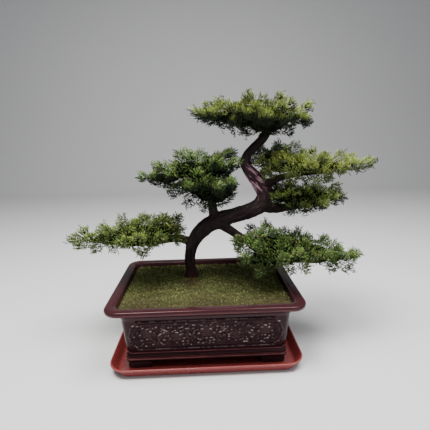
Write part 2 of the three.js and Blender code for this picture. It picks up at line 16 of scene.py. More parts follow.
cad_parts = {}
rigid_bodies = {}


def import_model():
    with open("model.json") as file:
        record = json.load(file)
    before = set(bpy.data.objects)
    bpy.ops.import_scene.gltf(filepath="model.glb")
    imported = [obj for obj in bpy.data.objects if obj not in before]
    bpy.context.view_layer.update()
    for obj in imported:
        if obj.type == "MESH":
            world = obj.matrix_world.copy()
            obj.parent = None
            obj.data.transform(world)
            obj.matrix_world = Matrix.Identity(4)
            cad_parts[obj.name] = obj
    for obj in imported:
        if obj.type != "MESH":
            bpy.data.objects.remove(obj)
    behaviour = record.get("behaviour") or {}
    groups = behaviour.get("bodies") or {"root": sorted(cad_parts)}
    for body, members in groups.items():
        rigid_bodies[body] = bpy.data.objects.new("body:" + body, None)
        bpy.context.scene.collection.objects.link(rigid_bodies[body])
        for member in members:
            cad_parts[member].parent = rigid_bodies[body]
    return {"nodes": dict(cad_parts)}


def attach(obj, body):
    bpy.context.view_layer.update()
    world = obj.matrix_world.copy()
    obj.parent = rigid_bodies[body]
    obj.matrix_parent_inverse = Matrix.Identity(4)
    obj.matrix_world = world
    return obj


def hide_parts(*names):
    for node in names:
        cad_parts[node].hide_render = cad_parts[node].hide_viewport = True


bl_info = {
    "name": "Potted Bonsai",
    "version": (1, 0, 0),
    "blender": (4, 5, 0),
    "location": "View3D > Sidebar > Bonsai",
    "description": "Builds a layered conifer bonsai in a glazed pot on a drip tray",
    "category": "Add Mesh",
}

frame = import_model()
NODES = frame["nodes"]

MM = 0.001

# Pads of foliage: the node that each replaces, its material slot in the record, how young its
# needles are, how bright they are painted for the light that falls on the pad, how deep the painted
# shade on their undersides and lower parts is, and a seed
PADS = {
    "pad_top": ("foliage_young", 1.0, 1.0, 1.2, 11),
    "pad_left_middle": ("foliage_mature", 0.25, 0.95, 1.7, 12),
    "pad_right_upper": ("foliage_young", 1.0, 1.0, 0.85, 13),
    "pad_right_middle": ("foliage_mature", 0.65, 0.97, 1.0, 14),
    "pad_back": ("foliage_mature", 0.1, 0.25, 1.0, 15),
    "pad_left_lower": ("foliage_mature", 0.6, 0.82, 0.7, 16),
    "pad_right_lower": ("foliage_mature", 0.25, 0.9, 0.8, 17),
}

# Pot, in millimetres: half sizes over the rim, the outline's corner radii there and below, and how
# far in from the rim the one has turned into the other
POT_HALF = (200.0, 142.5)
POT_CORNERS = (30.0, 12.0)
POT_BLEND = 32.0

# The pot's outside from the underside up and its inside down to the floor, as inset and height
POT_FOOT_LINE = [
    (34, 19), (32, 20.5), (32, 25), (34.5, 26.5), (32.8, 28.5), (32.8, 34), (36, 37), (36, 38.5),
    (34.5, 42),
]
POT_SHOULDER = [
    (28.5, 114), (24, 126), (19, 130), (7, 135), (0.8, 138), (0, 144), (1.5, 147), (4, 148),
    (17, 147.5), (20.5, 145.5), (24, 134), (32, 122), (44, 40), (50, 29),
]

# How much of each stretch its cut corners take, how finely the pot's wall, its other stretches and
# its outline are split, and the height over which the rim's top lies
POT_CUT = 0.22
POT_SPLIT = {"wall": 1.25, "rest": 9.0, "counts": (176, 22, 7)}
RIM_TOP = 143

# The pot's feet and drain holes, in millimetres
FOOT = {
    "inset": 36, "along": (50, 42), "thickness": 13, "chamfer": 5, "taper": 5, "low": 3.3,
    "high": 20.5, "edge": 1.2,
}
DRAIN = {"radius": 13, "from_centre": 82, "depth": 40, "height": 22, "sides": 32}

# Where the glaze runs thin, in millimetres: the rim above a height, and the painted highlight lines
# along its lip and the plinth, in the thin glaze's colour
THIN_RIM = {"above": 134.5, "share": 0.13}
LIP_HIGHLIGHT = {"height": 141, "width": 1.8, "share": 0.6}
PLINTH_HIGHLIGHTS = {"heights": (25, 28.5, 38.2), "width": 1.1}

# Relief panel, in millimetres: half width, lowest and highest edge, the margin round it and the
# deepest inset of its wall, and its ornament
PANEL = {"half": 155.0, "low": 47.0, "high": 111.0, "notch": 9.0, "margin": 3, "deepest": 37}
PANEL_MIDDLE = (PANEL["low"] + PANEL["high"]) / 2
PANEL_HALF_HEIGHT = (PANEL["high"] - PANEL["low"]) / 2
BLOSSOMS = {"each": 2, "spacing": 60.0, "radius": 13.5, "middle_radius": 15.5, "wave": 5.0}
SCROLL = {"size": 11.0, "steps": 18, "curl": 1.1, "rise": 1.8}
SPROUT = {"count": 5, "start": 0.8, "length": 0.62, "width": 6.5}
SCROLL_LEAF = {"places": (0.14, 0.34, 0.5, 0.66, 0.86), "lean": 0.9, "length": 11.0, "width": 5.0}
LOOSE_LEAF = {
    "seed": 8, "reach": (138, 23), "step": (7.6, 6.6), "shift": (2, 1.6), "limit": 144,
    "clear": 2.2, "room": 9, "length": (6.0, 9.0), "width": 3.8, "level_share": 0.75,
    "slant": 0.45,
}

# Tray, in millimetres: its outline's half sizes and corner, how much of an inset comes off the
# corner, the outline's points, and its section as inset and height
TRAY_HALF = (200.0, 140.0)
TRAY_CORNER = 38.0
TRAY_CORNER_SHARE = 0.6
TRAY_COUNTS = (24, 16, 14)
TRAY_SECTION = [
    (12.5, 0), (11, 1.5), (3.3, 17), (0, 18.5), (0, 21), (1, 22), (3, 22), (13, 5), (15.5, 3),
]

# Moss, in millimetres: its sheet, its hole, how far it is brown in from the front rim, where the
# dark brown is also painted shadow under the rim, and in a patch before the trunk, and its tufts
MOSS = {
    "half": (175.5, 118.0), "corner": 18.75, "bottom": 134.3, "edge": 3.0, "crown": 7.0,
    "bump": 1.5, "cushion": 1.3, "sunk": 1.4,
}
MOSS_MESH = {"sectors": 160, "rings": 44, "crowding": 0.8}
MOSS_HOLE = {"centre": (-33.0, 45.0), "radius": 19.0}
MOSS_BROWN = {"front": 52, "patch": (22, 38), "patch_y": 5}
TUFT = {"variants": 3, "needles": 4, "turn": 2.4, "slimness": 0.11, "stalk": 0.05, "lift": 0.1}

# How tufts and shoots stand: their sizes, how far they lean up and outwards, and how unevenly, and
# the most that a square metre gets
MOSS_STANCE = {
    "Smallest": 0.65, "Largest": 1.3, "Upwards": 0.3, "Outwards": 0.0, "Ruffle": 0.35,
    "Sunk": 0.0006,
}
PAD_STANCE = {"Smallest": 0.8, "Largest": 1.15, "Upwards": 0.5, "Outwards": 0.7, "Ruffle": 0.4}
MOST_POINTS = 400000.0

# Shoots and pads, in metres: a pad's dark heart, near black as painted shade deep in the pad, the
# bed of its shoots, how far from the trunk its needles are old and painted darker as shade, and how
# deep under its middle its shoots seem to spring from
SHOOT = {"seed": 4, "variants": 5, "needles": 9, "turn": 2.4, "slimness": 0.046, "stem": 0.045}
HEART = {"outwards": -0.0035, "voxel": 0.005, "rounds": 4, "roughness": 0.005, "cell": 0.0065}
BED = {"voxel": 0.0036, "rounds": 10, "cell": 0.02, "thinnest": 0.012}
OLD_AND_SHADED_REACH = 0.048
PAD_ROOT_DROP = 0.03

# Wood: where along the trunk it is bare and where it is red, how far each reaches, and how many
# steps a limb's line has between two given places
BARE_WOOD = {"at": 0.66, "reach": 0.07}
RED_WOOD = {"at": 0.16, "reach": 0.06, "share": 0.75}
LINE_STEPS = 6

# Wood, in millimetres: each limb's centre line as x, y, z, radius
TRUNK = [
    (-33, 46, 78, 8), (-33, 46, 104, 13), (-33, 46, 128, 16), (-33, 45, 142, 15),
    (-34, 44, 158, 12.5), (-35, 42, 190, 12.5), (-27, 38, 224, 14.5), (-6, 32, 256, 17),
    (30, 27, 281, 18), (68, 23, 293, 16.5), (103, 21, 303, 16.5), (130, 21, 317, 18),
    (141, 23, 340, 18.5), (128, 26, 366, 17), (109, 30, 389, 13.5), (97, 34, 408, 11),
    (102, 36, 427, 10), (120, 36, 446, 10), (137, 34, 464, 9.5), (147, 32, 484, 8.5),
    (148, 31, 507, 7),
]
BRANCHES = [
    [(25, 26, 281, 13), (55, 8, 266, 10), (90, -10, 246, 8), (132, -13, 221, 7), (190, -15, 204, 6),
     (244, -14, 189, 4.5), (284, -13, 192, 3)],
    [(-27, 38, 226, 10), (-58, 36, 238, 9), (-104, 31, 236, 8), (-160, 28, 240, 6),
     (-214, 25, 234, 4), (-250, 24, 240, 2.5)],
    [(26, 27, 280, 12), (22, 26, 310, 10), (16, 24, 340, 9), (2, 20, 372, 8), (-32, 16, 374, 6),
     (-66, 16, 366, 4), (-82, 16, 374, 2.5)],
    [(130, 21, 316, 15), (168, 25, 307, 11), (208, 28, 310, 8), (248, 30, 314, 5),
     (266, 31, 324, 3)],
    [(133, 24, 352, 11), (150, 17, 368, 9), (176, 11, 380, 7), (222, 8, 387, 5.5), (266, 8, 390, 4),
     (290, 8, 397, 2.5)],
    [(127, 27, 368, 9), (138, 46, 383, 8), (156, 72, 394, 6), (178, 92, 400, 4),
     (190, 102, 408, 3)],
    [(147, 31, 481, 7), (116, 24, 492, 5), (76, 22, 494, 4), (42, 26, 502, 3)],
    [(147, 31, 481, 7), (174, 30, 488, 5), (192, 31, 498, 3)],
    [(142, 31, 484, 5), (126, 4, 481, 4), (116, -18, 488, 3)],
    [(142, 31, 484, 5), (122, 52, 490, 4), (104, 68, 500, 3)],
    [(17, 24, 338, 6), (2, -2, 348, 4), (-12, -24, 360, 3)],
    [(14, 24, 342, 6), (12, 42, 358, 4), (6, 56, 374, 3)],
    [(168, 13, 376, 5), (192, -8, 383, 4), (212, -24, 391, 3)],
    [(190, 27, 308, 5), (214, 8, 313, 4), (230, -4, 321, 3)],
    [(150, -14, 215, 5.5), (172, -36, 201, 4), (188, -52, 207, 3)],
    [(172, -14, 208, 5), (190, 12, 202, 4), (202, 30, 209, 3)],
    [(-96, 31, 235, 5), (-118, 8, 234, 4), (-136, -12, 241, 3)],
    [(-100, 31, 235, 5), (-124, 50, 236, 4), (-142, 64, 244, 3)],
]

# Stage, in metres: the sweep of floor, the camera, and each light's place, target, size and colour
SWEEP = {"front": -3.0, "back": 2.2, "radius": 0.9, "steps": 16, "half_width": 6.0, "height": 5.0}
CAMERA = {"place": (-0.0004, -0.7101, 0.4628), "turn": (12.888, 2.0997, 1.0647), "sensor": 36.0}
LIGHTS = {
    "key": ((-0.45, -0.35, 1.95), (0.0, 0.0, 0.25), 0.9, (1.0, 0.99, 0.96)),
    "fill": ((0.9, -1.3, 0.9), (0.0, 0.0, 0.2), 1.2, (0.95, 0.97, 1.0)),
    "top": ((0.65, -0.25, 1.85), (0.1, 0.0, 0.3), 0.9, (1.0, 1.0, 1.0)),
}
TOP_SHARE = 0.55
SKY_COLOUR = (0.86, 0.88, 0.92, 1)


# Settings that a user would change


def colour_setting(name, description, default):
    return FloatVectorProperty(
        name=name, description=description, default=default, size=3, min=0, max=1, subtype="COLOR",
    )


def length_setting(name, description, default):
    return FloatProperty(
        name=name, description=description, default=default, min=0, unit="LENGTH",
        subtype="DISTANCE",
    )


def number_setting(name, description, default, unit="NONE"):
    return FloatProperty(name=name, description=description, default=default, unit=unit)


class PotSettings(bpy.types.PropertyGroup):
    """Glaze and relief of the pot"""

    glaze: colour_setting("Glaze", "Colour of the glaze where it is thick", (0.011, 0.003, 0.005))
    # Thin glaze on the rim; the same colour paints the highlight lines on the lip and the plinth
    thin_glaze_and_highlight: colour_setting("Thin glaze", "Colour of the glaze on edges", (0.22, 0.070, 0.066))
    # A pale painted highlight on the ornament's upward-facing edges
    crest_highlight: colour_setting("Crest", "Colour of the ornament's upper edges", (0.60, 0.49, 0.47))
    relief: length_setting("Relief", "Height of the ornament on the panels", 0.0026)


class TraySettings(bpy.types.PropertyGroup):
    """Finish of the drip tray"""

    colour: colour_setting("Colour", "Colour of the tray", (0.205, 0.035, 0.033))


class WoodSettings(bpy.types.PropertyGroup):
    """Bark and bare wood"""

    bark: colour_setting("Bark", "Colour of the bark's ridges", (0.012, 0.006, 0.007))
    furrow: colour_setting("Furrow", "Colour deep in the bark", (0.003, 0.002, 0.0025))
    bare: colour_setting("Bare wood", "Colour of the stripped wood", (0.046, 0.012, 0.020))
    streak: colour_setting("Streak", "Colour of the pale dead wood", (0.36, 0.20, 0.25))
    voxel: length_setting("Voxel", "Cell size when the limbs are joined", 0.0019)
    depth: length_setting("Bark depth", "How deep the bark's furrows are", 0.0019)


class FoliageSettings(bpy.types.PropertyGroup):
    """Shoots of needles"""

    young: colour_setting("Young tips", "Colour of the tips on young pads", (0.80, 0.98, 0.16))
    mature: colour_setting("Mature tips", "Colour of the tips on mature pads", (0.43, 0.78, 0.18))
    # Inner is also the colour of the painted shade in the pads
    inner: colour_setting("Inner needles", "Colour of the needles' roots", (0.013, 0.024, 0.008))
    spacing: length_setting("Spacing", "Least distance between two shoots", 0.0047)
    shoot: length_setting("Shoot", "Length of a shoot", 0.0125)
    fullness: length_setting("Fullness", "How far the shoots' bed lies outside the solid", 0.0085)
    clump: length_setting("Clump", "Size of a clump of shoots", 0.015)
    clump_height: length_setting("Clump height", "How far a clump stands out", 0.0075)


class MossSettings(bpy.types.PropertyGroup):
    """Moss over the soil"""

    green: colour_setting("Green", "Colour of the fresh moss", (0.20, 0.26, 0.055))
    dry: colour_setting("Dry", "Colour of the dry moss", (0.22, 0.15, 0.05))
    spacing: length_setting("Spacing", "Least distance between two tufts", 0.0032)
    tuft: length_setting("Tuft", "Height of a tuft", 0.0046)
    seed: IntProperty(name="Seed", description="Seed of the tufts and where they stand", default=5)


class StageSettings(bpy.types.PropertyGroup):
    """Floor, lights and camera"""

    floor: colour_setting("Floor", "Colour of the floor", (0.58, 0.58, 0.585))
    key: number_setting("Key", "Power of the main light", 78.0, "POWER")
    fill: number_setting("Fill", "Power of the fill light", 6.0, "POWER")
    sky: number_setting("Sky", "Strength of the light from all round", 0.34)
    lens: number_setting("Lens", "Focal length of the camera", 27.61, "CAMERA")


# Meshes


def scene_object(name, data):
    made = bpy.data.objects.new(name, data)
    bpy.context.scene.collection.objects.link(made)
    return made


def mesh_object(name, vertices, faces):
    mesh = bpy.data.meshes.new(name)
    mesh.from_pydata([tuple(v) for v in vertices], [], faces)
    mesh.validate()
    return scene_object(name, mesh)


def bmesh_object(name, bm):
    """A new object with the bmesh's shape. The bmesh is freed."""
    mesh = bpy.data.meshes.new(name)
    bm.to_mesh(mesh)
    bm.free()
    return scene_object(name, mesh)


def vertex_array(mesh):
    flat = np.empty(len(mesh.vertices) * 3)
    mesh.vertices.foreach_get("co", flat)
    return flat.reshape(-1, 3)


def normal_array(mesh):
    flat = np.empty(len(mesh.vertices) * 3, dtype=np.float32)
    mesh.vertices.foreach_get("normal", flat)
    return flat.reshape(-1, 3)


def set_vertices(mesh, points):
    mesh.vertices.foreach_set("co", np.asarray(points, dtype=np.float32).ravel())
    mesh.update()


def float_attributes(mesh, **numbers):
    """Gives each point of the mesh its numbers, or all points the same one."""
    for name, values in numbers.items():
        attribute = mesh.attributes.get(name) or mesh.attributes.new(name, "FLOAT", "POINT")
        attribute.data.foreach_set("value", np.full(len(mesh.vertices), values, np.float32))


def vector_attribute(mesh, name, values):
    attribute = mesh.attributes.get(name) or mesh.attributes.new(name, "FLOAT_VECTOR", "POINT")
    attribute.data.foreach_set("vector", np.asarray(values, dtype=np.float32).ravel())


def smooth_shading(mesh, angle=None):
    """Smooth faces, with a crease where they meet at more than the angle, if one is given."""
    mesh.polygons.foreach_set("use_smooth", [True] * len(mesh.polygons))
    if angle is not None:
        mesh.set_sharp_from_angle(angle=math.radians(angle))


def bake_modifiers(target):
    """Replaces the object's mesh by its evaluated one and drops its modifiers."""
    evaluated = target.evaluated_get(bpy.context.evaluated_depsgraph_get())
    mesh = bpy.data.meshes.new_from_object(evaluated)
    target.modifiers.clear()
    old = target.data
    target.data = mesh
    mesh.name = target.name
    bpy.data.meshes.remove(old)
    return target


def boolean(target, tool, operation):
    modifier = target.modifiers.new(operation, "BOOLEAN")
    modifier.operation = operation
    modifier.solver = "MANIFOLD"
    modifier.object = tool
    bake_modifiers(target)
    remove(tool)


def remove(thing):
    mesh = thing.data
    bpy.data.objects.remove(thing)
    bpy.data.meshes.remove(mesh)


def recalculate(mesh):
    bm = bmesh.new()
    bm.from_mesh(mesh)
    bmesh.ops.recalc_face_normals(bm, faces=bm.faces)
    bm.to_mesh(mesh)
    bm.free()


def dress(piece, material):
    piece.data.materials.clear()
    piece.data.materials.append(material)


def quads_between(a, b, points):
    """Quads between two rings of points that start at a and b."""
    return [(a + j, a + (j + 1) % points, b + (j + 1) % points, b + j) for j in range(points)]


def loft_faces(ring_count, points):
    """Quads between equal rings that run anticlockwise seen from the side that the rings go to,
    and a face over each end.
    """
    faces = []
    for i in range(ring_count - 1):
        faces += quads_between(i * points, (i + 1) * points, points)
    last = (ring_count - 1) * points
    faces.append(tuple(range(points - 1, -1, -1)))
    faces.append(tuple(last + j for j in range(points)))
    return faces


def cut_corners(section, share=0.2):
    """The same open section with each corner cut twice, so that it ends up rounded."""
    points = [np.array(p, float) for p in section]
    for _ in range(2):
        fresh = [points[0]]
        for a, b in zip(points, points[1:]):
            fresh += [a + (b - a) * share, b - (b - a) * share]
        points = fresh + [points[-1]]
    return points


def split_long(section, longest):
    """The same section with its long stretches split."""
    fresh = [section[0]]
    for a, b in zip(section, section[1:]):
        a, b = np.array(a, float), np.array(b, float)
        parts = max(1, math.ceil(np.linalg.norm(b - a) / longest))
        fresh += [a + (b - a) * (i + 1) / parts for i in range(parts)]
    return fresh


def rounded_outline(half, radius, counts):
    """Points round a rectangle, anticlockwise from above. Counts are for X, Y and a corner."""
    along_x, along_y, corner = counts
    inner = (half[0] - radius, half[1] - radius)
    centres = [(1, 1), (-1, 1), (-1, -1), (1, -1)]

    def corner_point(sx, sy, angle):
        return sx * inner[0] + radius * math.cos(angle), sy * inner[1] + radius * math.sin(angle)

    points = []
    for c, centre in enumerate(centres):
        for s in range(corner + 1):
            points.append(corner_point(*centre, (c + s / corner) * math.pi / 2))
        first, last = points[-1], corner_point(*centres[(c + 1) % 4], (c + 1) * math.pi / 2)
        steps = along_x if c % 2 == 0 else along_y
        for s in range(1, steps):
            t = s / steps
            points.append(tuple(a + (b - a) * t for a, b in zip(first, last)))
    return np.array(points)


def outline_ring(half, inset, z, radius, counts):
    outline = rounded_outline((half[0] - inset, half[1] - inset), radius, counts)
    return np.column_stack([outline, np.full(len(outline), z)])


def bell(values, centre, width):
    """1 at the centre, and less with distance from it."""
    return np.exp(-((values - centre) / width) ** 2)


def search_tree(points):
    tree = kdtree.KDTree(len(points))
    for i, place in enumerate(points):
        tree.insert(place, i)
    tree.balance()
    return tree


def finish_piece(piece, slot, *replaced):
    """Makes the piece ride on the frame, in the place of the nodes that it replaces."""
    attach(piece, "root")
    if replaced:
        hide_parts(*replaced)
    return piece


# Materials


class Nodes:
    """A node tree, with short ways to add to it."""

    def __init__(self, tree):
        self.tree = tree
        self.links = tree.links

    def add(self, kind, values=None, **settings):
        node = self.tree.nodes.new(kind)
        for key, value in settings.items():
            setattr(node, key, value)
        for key, value in (values or {}).items():
            self.feed(node.inputs[key], value)
        return node

    def feed(self, socket, value):
        if isinstance(value, bpy.types.NodeSocket):
            self.links.new(value, socket)
        else:
            socket.default_value = value

    def place(self):
        return self.add("ShaderNodeTexCoord").outputs["Object"]

    def attribute(self, name, output="Fac"):
        return self.add("ShaderNodeAttribute", attribute_name=name).outputs[output]

    def noise(self, scale, detail=4.0, roughness=0.55, vector=None):
        where = vector or self.place()
        values = {"Vector": where, "Scale": scale, "Detail": detail, "Roughness": roughness}
        return self.add("ShaderNodeTexNoise", values).outputs["Fac"]

    def ramp(self, value, stops):
        node = self.add("ShaderNodeValToRGB", {"Fac": value})
        ramp = node.color_ramp
        for i, (position, colour) in enumerate(stops):
            stop = ramp.elements[i] if i < 2 else ramp.elements.new(position)
            stop.position = position
            stop.color = rgba(colour)
        return node.outputs["Color"]

    def scale(self, value, low, high, to_low=0.0, to_high=1.0):
        values = {
            "Value": value, "From Min": low, "From Max": high, "To Min": to_low, "To Max": to_high,
        }
        return self.add("ShaderNodeMapRange", values).outputs["Result"]

    def mix(self, factor, a, b, blend="MIX"):
        node = self.add("ShaderNodeMix", data_type="RGBA", blend_type=blend)
        for socket, value in ((node.inputs[0], factor), (node.inputs[6], a), (node.inputs[7], b)):
            self.feed(socket, rgba(value) if isinstance(value, (tuple, list)) else value)
        return node.outputs[2]

    def maths(self, operation, a, b=0.0):
        return self.add("ShaderNodeMath", {0: a, 1: b}, operation=operation).outputs[0]

    def bump(self, height, distance, strength=1.0, normal=None):
        values = {"Height": height, "Distance": distance, "Strength": strength}
        if normal is not None:
            values["Normal"] = normal
        return self.add("ShaderNodeBump", values).outputs["Normal"]

    def paint(self, shader, colour, normal=None, roughness=None):
        """Feeds the shader what changes over the surface."""
        for name, value in (("Base Color", colour), ("Roughness", roughness), ("Normal", normal)):
            if value is not None:
                self.feed(shader.inputs[name], value)

    # For geometry

    def vector(self, operation, a, b=None):
        values = {0: a}
        if b is not None:
            values["Scale" if operation == "SCALE" else 1] = b
        return self.add("ShaderNodeVectorMath", values, operation=operation).outputs[0]

    def named(self, name, kind="FLOAT"):
        node = self.add("GeometryNodeInputNamedAttribute", {"Name": name}, data_type=kind)
        return node.outputs["Attribute"]

    def store(self, geometry, name, value, kind, domain):
        values = {"Geometry": geometry, "Name": name, "Value": value}
        node = self.add("GeometryNodeStoreNamedAttribute", values, data_type=kind, domain=domain)
        return node.outputs["Geometry"]

    def random(self, values=None, kind="FLOAT"):
        """A random number for each point, or a random vector."""
        node = self.add("FunctionNodeRandomValue", values, data_type=kind)
        return node.outputs[0 if kind == "FLOAT_VECTOR" else 1]


def rgba(colour):
    return (*tuple(colour)[:3], 1.0)


def new_material(name, roughness, **fixed):
    """A material with a Principled shader. Fixed holds numbers that are the same all over."""
    material = bpy.data.materials.new(name)
    material.use_nodes = True
    material.node_tree.nodes.clear()
    nodes = Nodes(material.node_tree)
    shader = nodes.add("ShaderNodeBsdfPrincipled", {"Roughness": roughness, **fixed})
    output = nodes.add("ShaderNodeOutputMaterial")
    nodes.links.new(shader.outputs[0], output.inputs["Surface"])
    return material, nodes, shader


def new_socket(tree, label, kind, way="INPUT"):
    return tree.interface.new_socket(name=label, in_out=way, socket_type="NodeSocket" + kind)


def mottle_group():
    """Two sizes of noise as one mask, for colour that varies over a surface."""
    name = "Mottle"
    if name in bpy.data.node_groups:
        return bpy.data.node_groups[name]
    tree = bpy.data.node_groups.new(name, "ShaderNodeTree")
    for label, default in (("Coarse Scale", 20.0), ("Fine Scale", 200.0), ("Fine Share", 0.4)):
        new_socket(tree, label, "Float").default_value = default
    new_socket(tree, "Mask", "Float", "OUTPUT")
    nodes = Nodes(tree)
    source = nodes.add("NodeGroupInput").outputs
    where = nodes.place()
    coarse = nodes.noise(source[0], 3.0, 0.5, where)
    fine = nodes.noise(source[1], 4.0, 0.5, where)
    blended = nodes.add("ShaderNodeMix", {0: source[2], 2: coarse, 3: fine}, data_type="FLOAT")
    target = nodes.add("NodeGroupOutput")
    nodes.links.new(blended.outputs[0], target.inputs["Mask"])
    return tree


def mottle(nodes, coarse, fine, share=0.4):
    values = {"Coarse Scale": coarse, "Fine Scale": fine, "Fine Share": share}
    return nodes.add("ShaderNodeGroup", values, node_tree=mottle_group()).outputs["Mask"]


def glaze_material(settings):
    """Dark glaze, thin and red on the rim, with painted highlights on lip, plinth and ornament."""
    material, nodes, shader = new_material(
        "Glaze", 0.16, **{"Specular IOR Level": 0.2, "Specular Tint": (1.0, 0.68, 0.72, 1.0)},
    )
    cloud = mottle(nodes, 14.0, 240.0, 0.35)
    thick = nodes.mix(nodes.scale(cloud, 0.35, 0.7), tuple(settings.glaze), (0.024, 0.008, 0.011))
    thin = nodes.mix(nodes.scale(cloud, 0.4, 0.65), tuple(settings.thin_glaze_and_highlight), (0.08, 0.03, 0.03))
    # Thin glaze on the rim, and painted highlight lines along the lip and the plinth
    edges_and_highlights = nodes.mix(nodes.scale(nodes.attribute("thin"), 0.05, 0.9), thick, thin)
    # Pale painted highlight on the ornament's upward-facing edges, broken into dashes by noise
    speck = nodes.scale(nodes.noise(110.0, 2.0), 0.44, 0.54, 0.08, 1.0)
    breaking = nodes.maths("MULTIPLY", nodes.attribute("breaking"), speck)
    ripple = nodes.bump(nodes.noise(90.0, 3.0), 0.0006, 0.35)
    grains = nodes.add("ShaderNodeTexVoronoi", {"Vector": nodes.place(), "Scale": 480.0})
    stipple = nodes.maths("MULTIPLY", grains.outputs["Distance"], nodes.attribute("stipple"))
    nodes.paint(
        shader, nodes.mix(breaking, edges_and_highlights, tuple(settings.crest_highlight)),
        nodes.bump(stipple, 0.0016, 1.0, ripple), nodes.scale(cloud, 0.3, 0.7, 0.10, 0.26),
    )
    return material


def tray_material(settings):
    """Moulded red-brown plastic with dried water marks."""
    material, nodes, shader = new_material("Tray plastic", 0.28, **{"Specular IOR Level": 0.5})
    marks = mottle(nodes, 9.0, 70.0, 0.45)
    base = nodes.mix(nodes.scale(marks, 0.35, 0.65), tuple(settings.colour), (0.21, 0.03, 0.028))
    dusty = nodes.mix(nodes.scale(marks, 0.62, 0.74, 0.0, 0.35), base, (0.45, 0.25, 0.2))
    pits = nodes.bump(nodes.noise(1400.0, 2.0), 0.0001, 0.3)
    nodes.paint(shader, dusty, pits, nodes.scale(marks, 0.3, 0.75, 0.2, 0.48))
    return material


def screen_material():
    material, nodes, shader = new_material("Screen plastic", 0.6)
    dirt = mottle(nodes, 60.0, 500.0)
    colour = nodes.mix(dirt, (0.015, 0.03, 0.02), (0.05, 0.045, 0.03))
    nodes.paint(shader, colour, nodes.bump(nodes.noise(900.0), 0.0002, 0.5))
    return material


def soil_material():
    """Dark loam with pale grit."""
    material, nodes, shader = new_material("Soil", 0.95)
    grains = nodes.add("ShaderNodeTexVoronoi", {"Vector": nodes.place(), "Scale": 420.0})
    loam = [(0.3, (0.010, 0.006, 0.004)), (0.7, (0.055, 0.035, 0.022))]
    dark = nodes.ramp(nodes.noise(160.0, 6.0), loam)
    grit = nodes.scale(grains.outputs["Color"], 0.86, 0.92)
    height = nodes.maths("SUBTRACT", 1.0, grains.outputs["Distance"])
    nodes.paint(shader, nodes.mix(grit, dark, (0.20, 0.16, 0.12)), nodes.bump(height, 0.0015, 0.9))
    return material


def moss_material(settings):
    """Short moss, fresh and dry in patches, darker at its roots; brown with painted shadow at the
    front.
    """
    material, nodes, shader = new_material("Moss", 0.85, **{"Specular IOR Level": 0.25})
    patches = mottle(nodes, 16.0, 130.0, 0.5)
    tint = nodes.attribute("tint")
    fresh = nodes.ramp(tint, [
        (0.0, (0.03, 0.045, 0.010)), (0.4, settings.green), (0.78, (0.42, 0.46, 0.14)),
        (1.0, (0.68, 0.64, 0.28)),
    ])
    body = nodes.mix(nodes.scale(patches, 0.52, 0.70, 0.0, 0.75), fresh, tuple(settings.dry))
    uneven = nodes.scale(patches, 0.36, 0.52, 0.82, 1.0)
    blotch = nodes.maths("MULTIPLY", nodes.attribute("brown"), uneven)
    dead = nodes.ramp(tint, [
        (0.0, (0.020, 0.010, 0.004)), (0.5, (0.085, 0.040, 0.014)), (0.9, (0.34, 0.23, 0.08)),
    ])
    # Brown in a patch and along the front; the front band's dark brown is also painted shadow under
    # the rim
    brown = nodes.mix(blotch, body, dead)
    along = nodes.scale(nodes.attribute("along"), 0.1, 0.8)
    rooted = nodes.mix(along, (0.030, 0.028, 0.010), brown)
    nodes.paint(shader, rooted, nodes.bump(nodes.noise(900.0, 6.0), 0.002, 1.0))
    return material


def wood_material(settings):
    """Furrowed bark, and bare wood with pale streaks where the bark is gone."""
    material, nodes, shader = new_material("Bark", 0.8, **{"Specular IOR Level": 0.25})
    grain = nodes.attribute("grain", "Vector")
    fibres = nodes.noise(260.0, 6.0, 0.65, vector=grain)
    flakes = nodes.noise(90.0, 5.0, 0.6, vector=grain)
    height = nodes.maths("MULTIPLY", nodes.attribute("height"), 0.6)
    rough = nodes.maths("ADD", height, nodes.maths("MULTIPLY", flakes, 0.4))
    bark = nodes.ramp(rough, [
        (0.3, settings.furrow), (0.52, settings.bark), (0.7, (0.022, 0.012, 0.012)),
        (0.86, (0.060, 0.040, 0.038)),
    ])
    streaks = nodes.noise(170.0, 2.0, 0.5, vector=grain)
    cracks, pale = nodes.scale(streaks, 0.43, 0.51), nodes.scale(streaks, 0.55, 0.61)
    stripped = nodes.mix(cracks, (0.012, 0.005, 0.008), tuple(settings.bare))
    stripped = nodes.mix(pale, stripped, tuple(settings.streak))
    bare = nodes.attribute("bare")
    colour = nodes.mix(bare, bark, stripped)
    red = nodes.mix(nodes.attribute("red"), colour, (0.035, 0.008, 0.007))
    nodes.paint(shader, red, nodes.bump(fibres, 0.0009, 0.7), nodes.scale(bare, 0, 1, 0.85, 0.6))
    return material


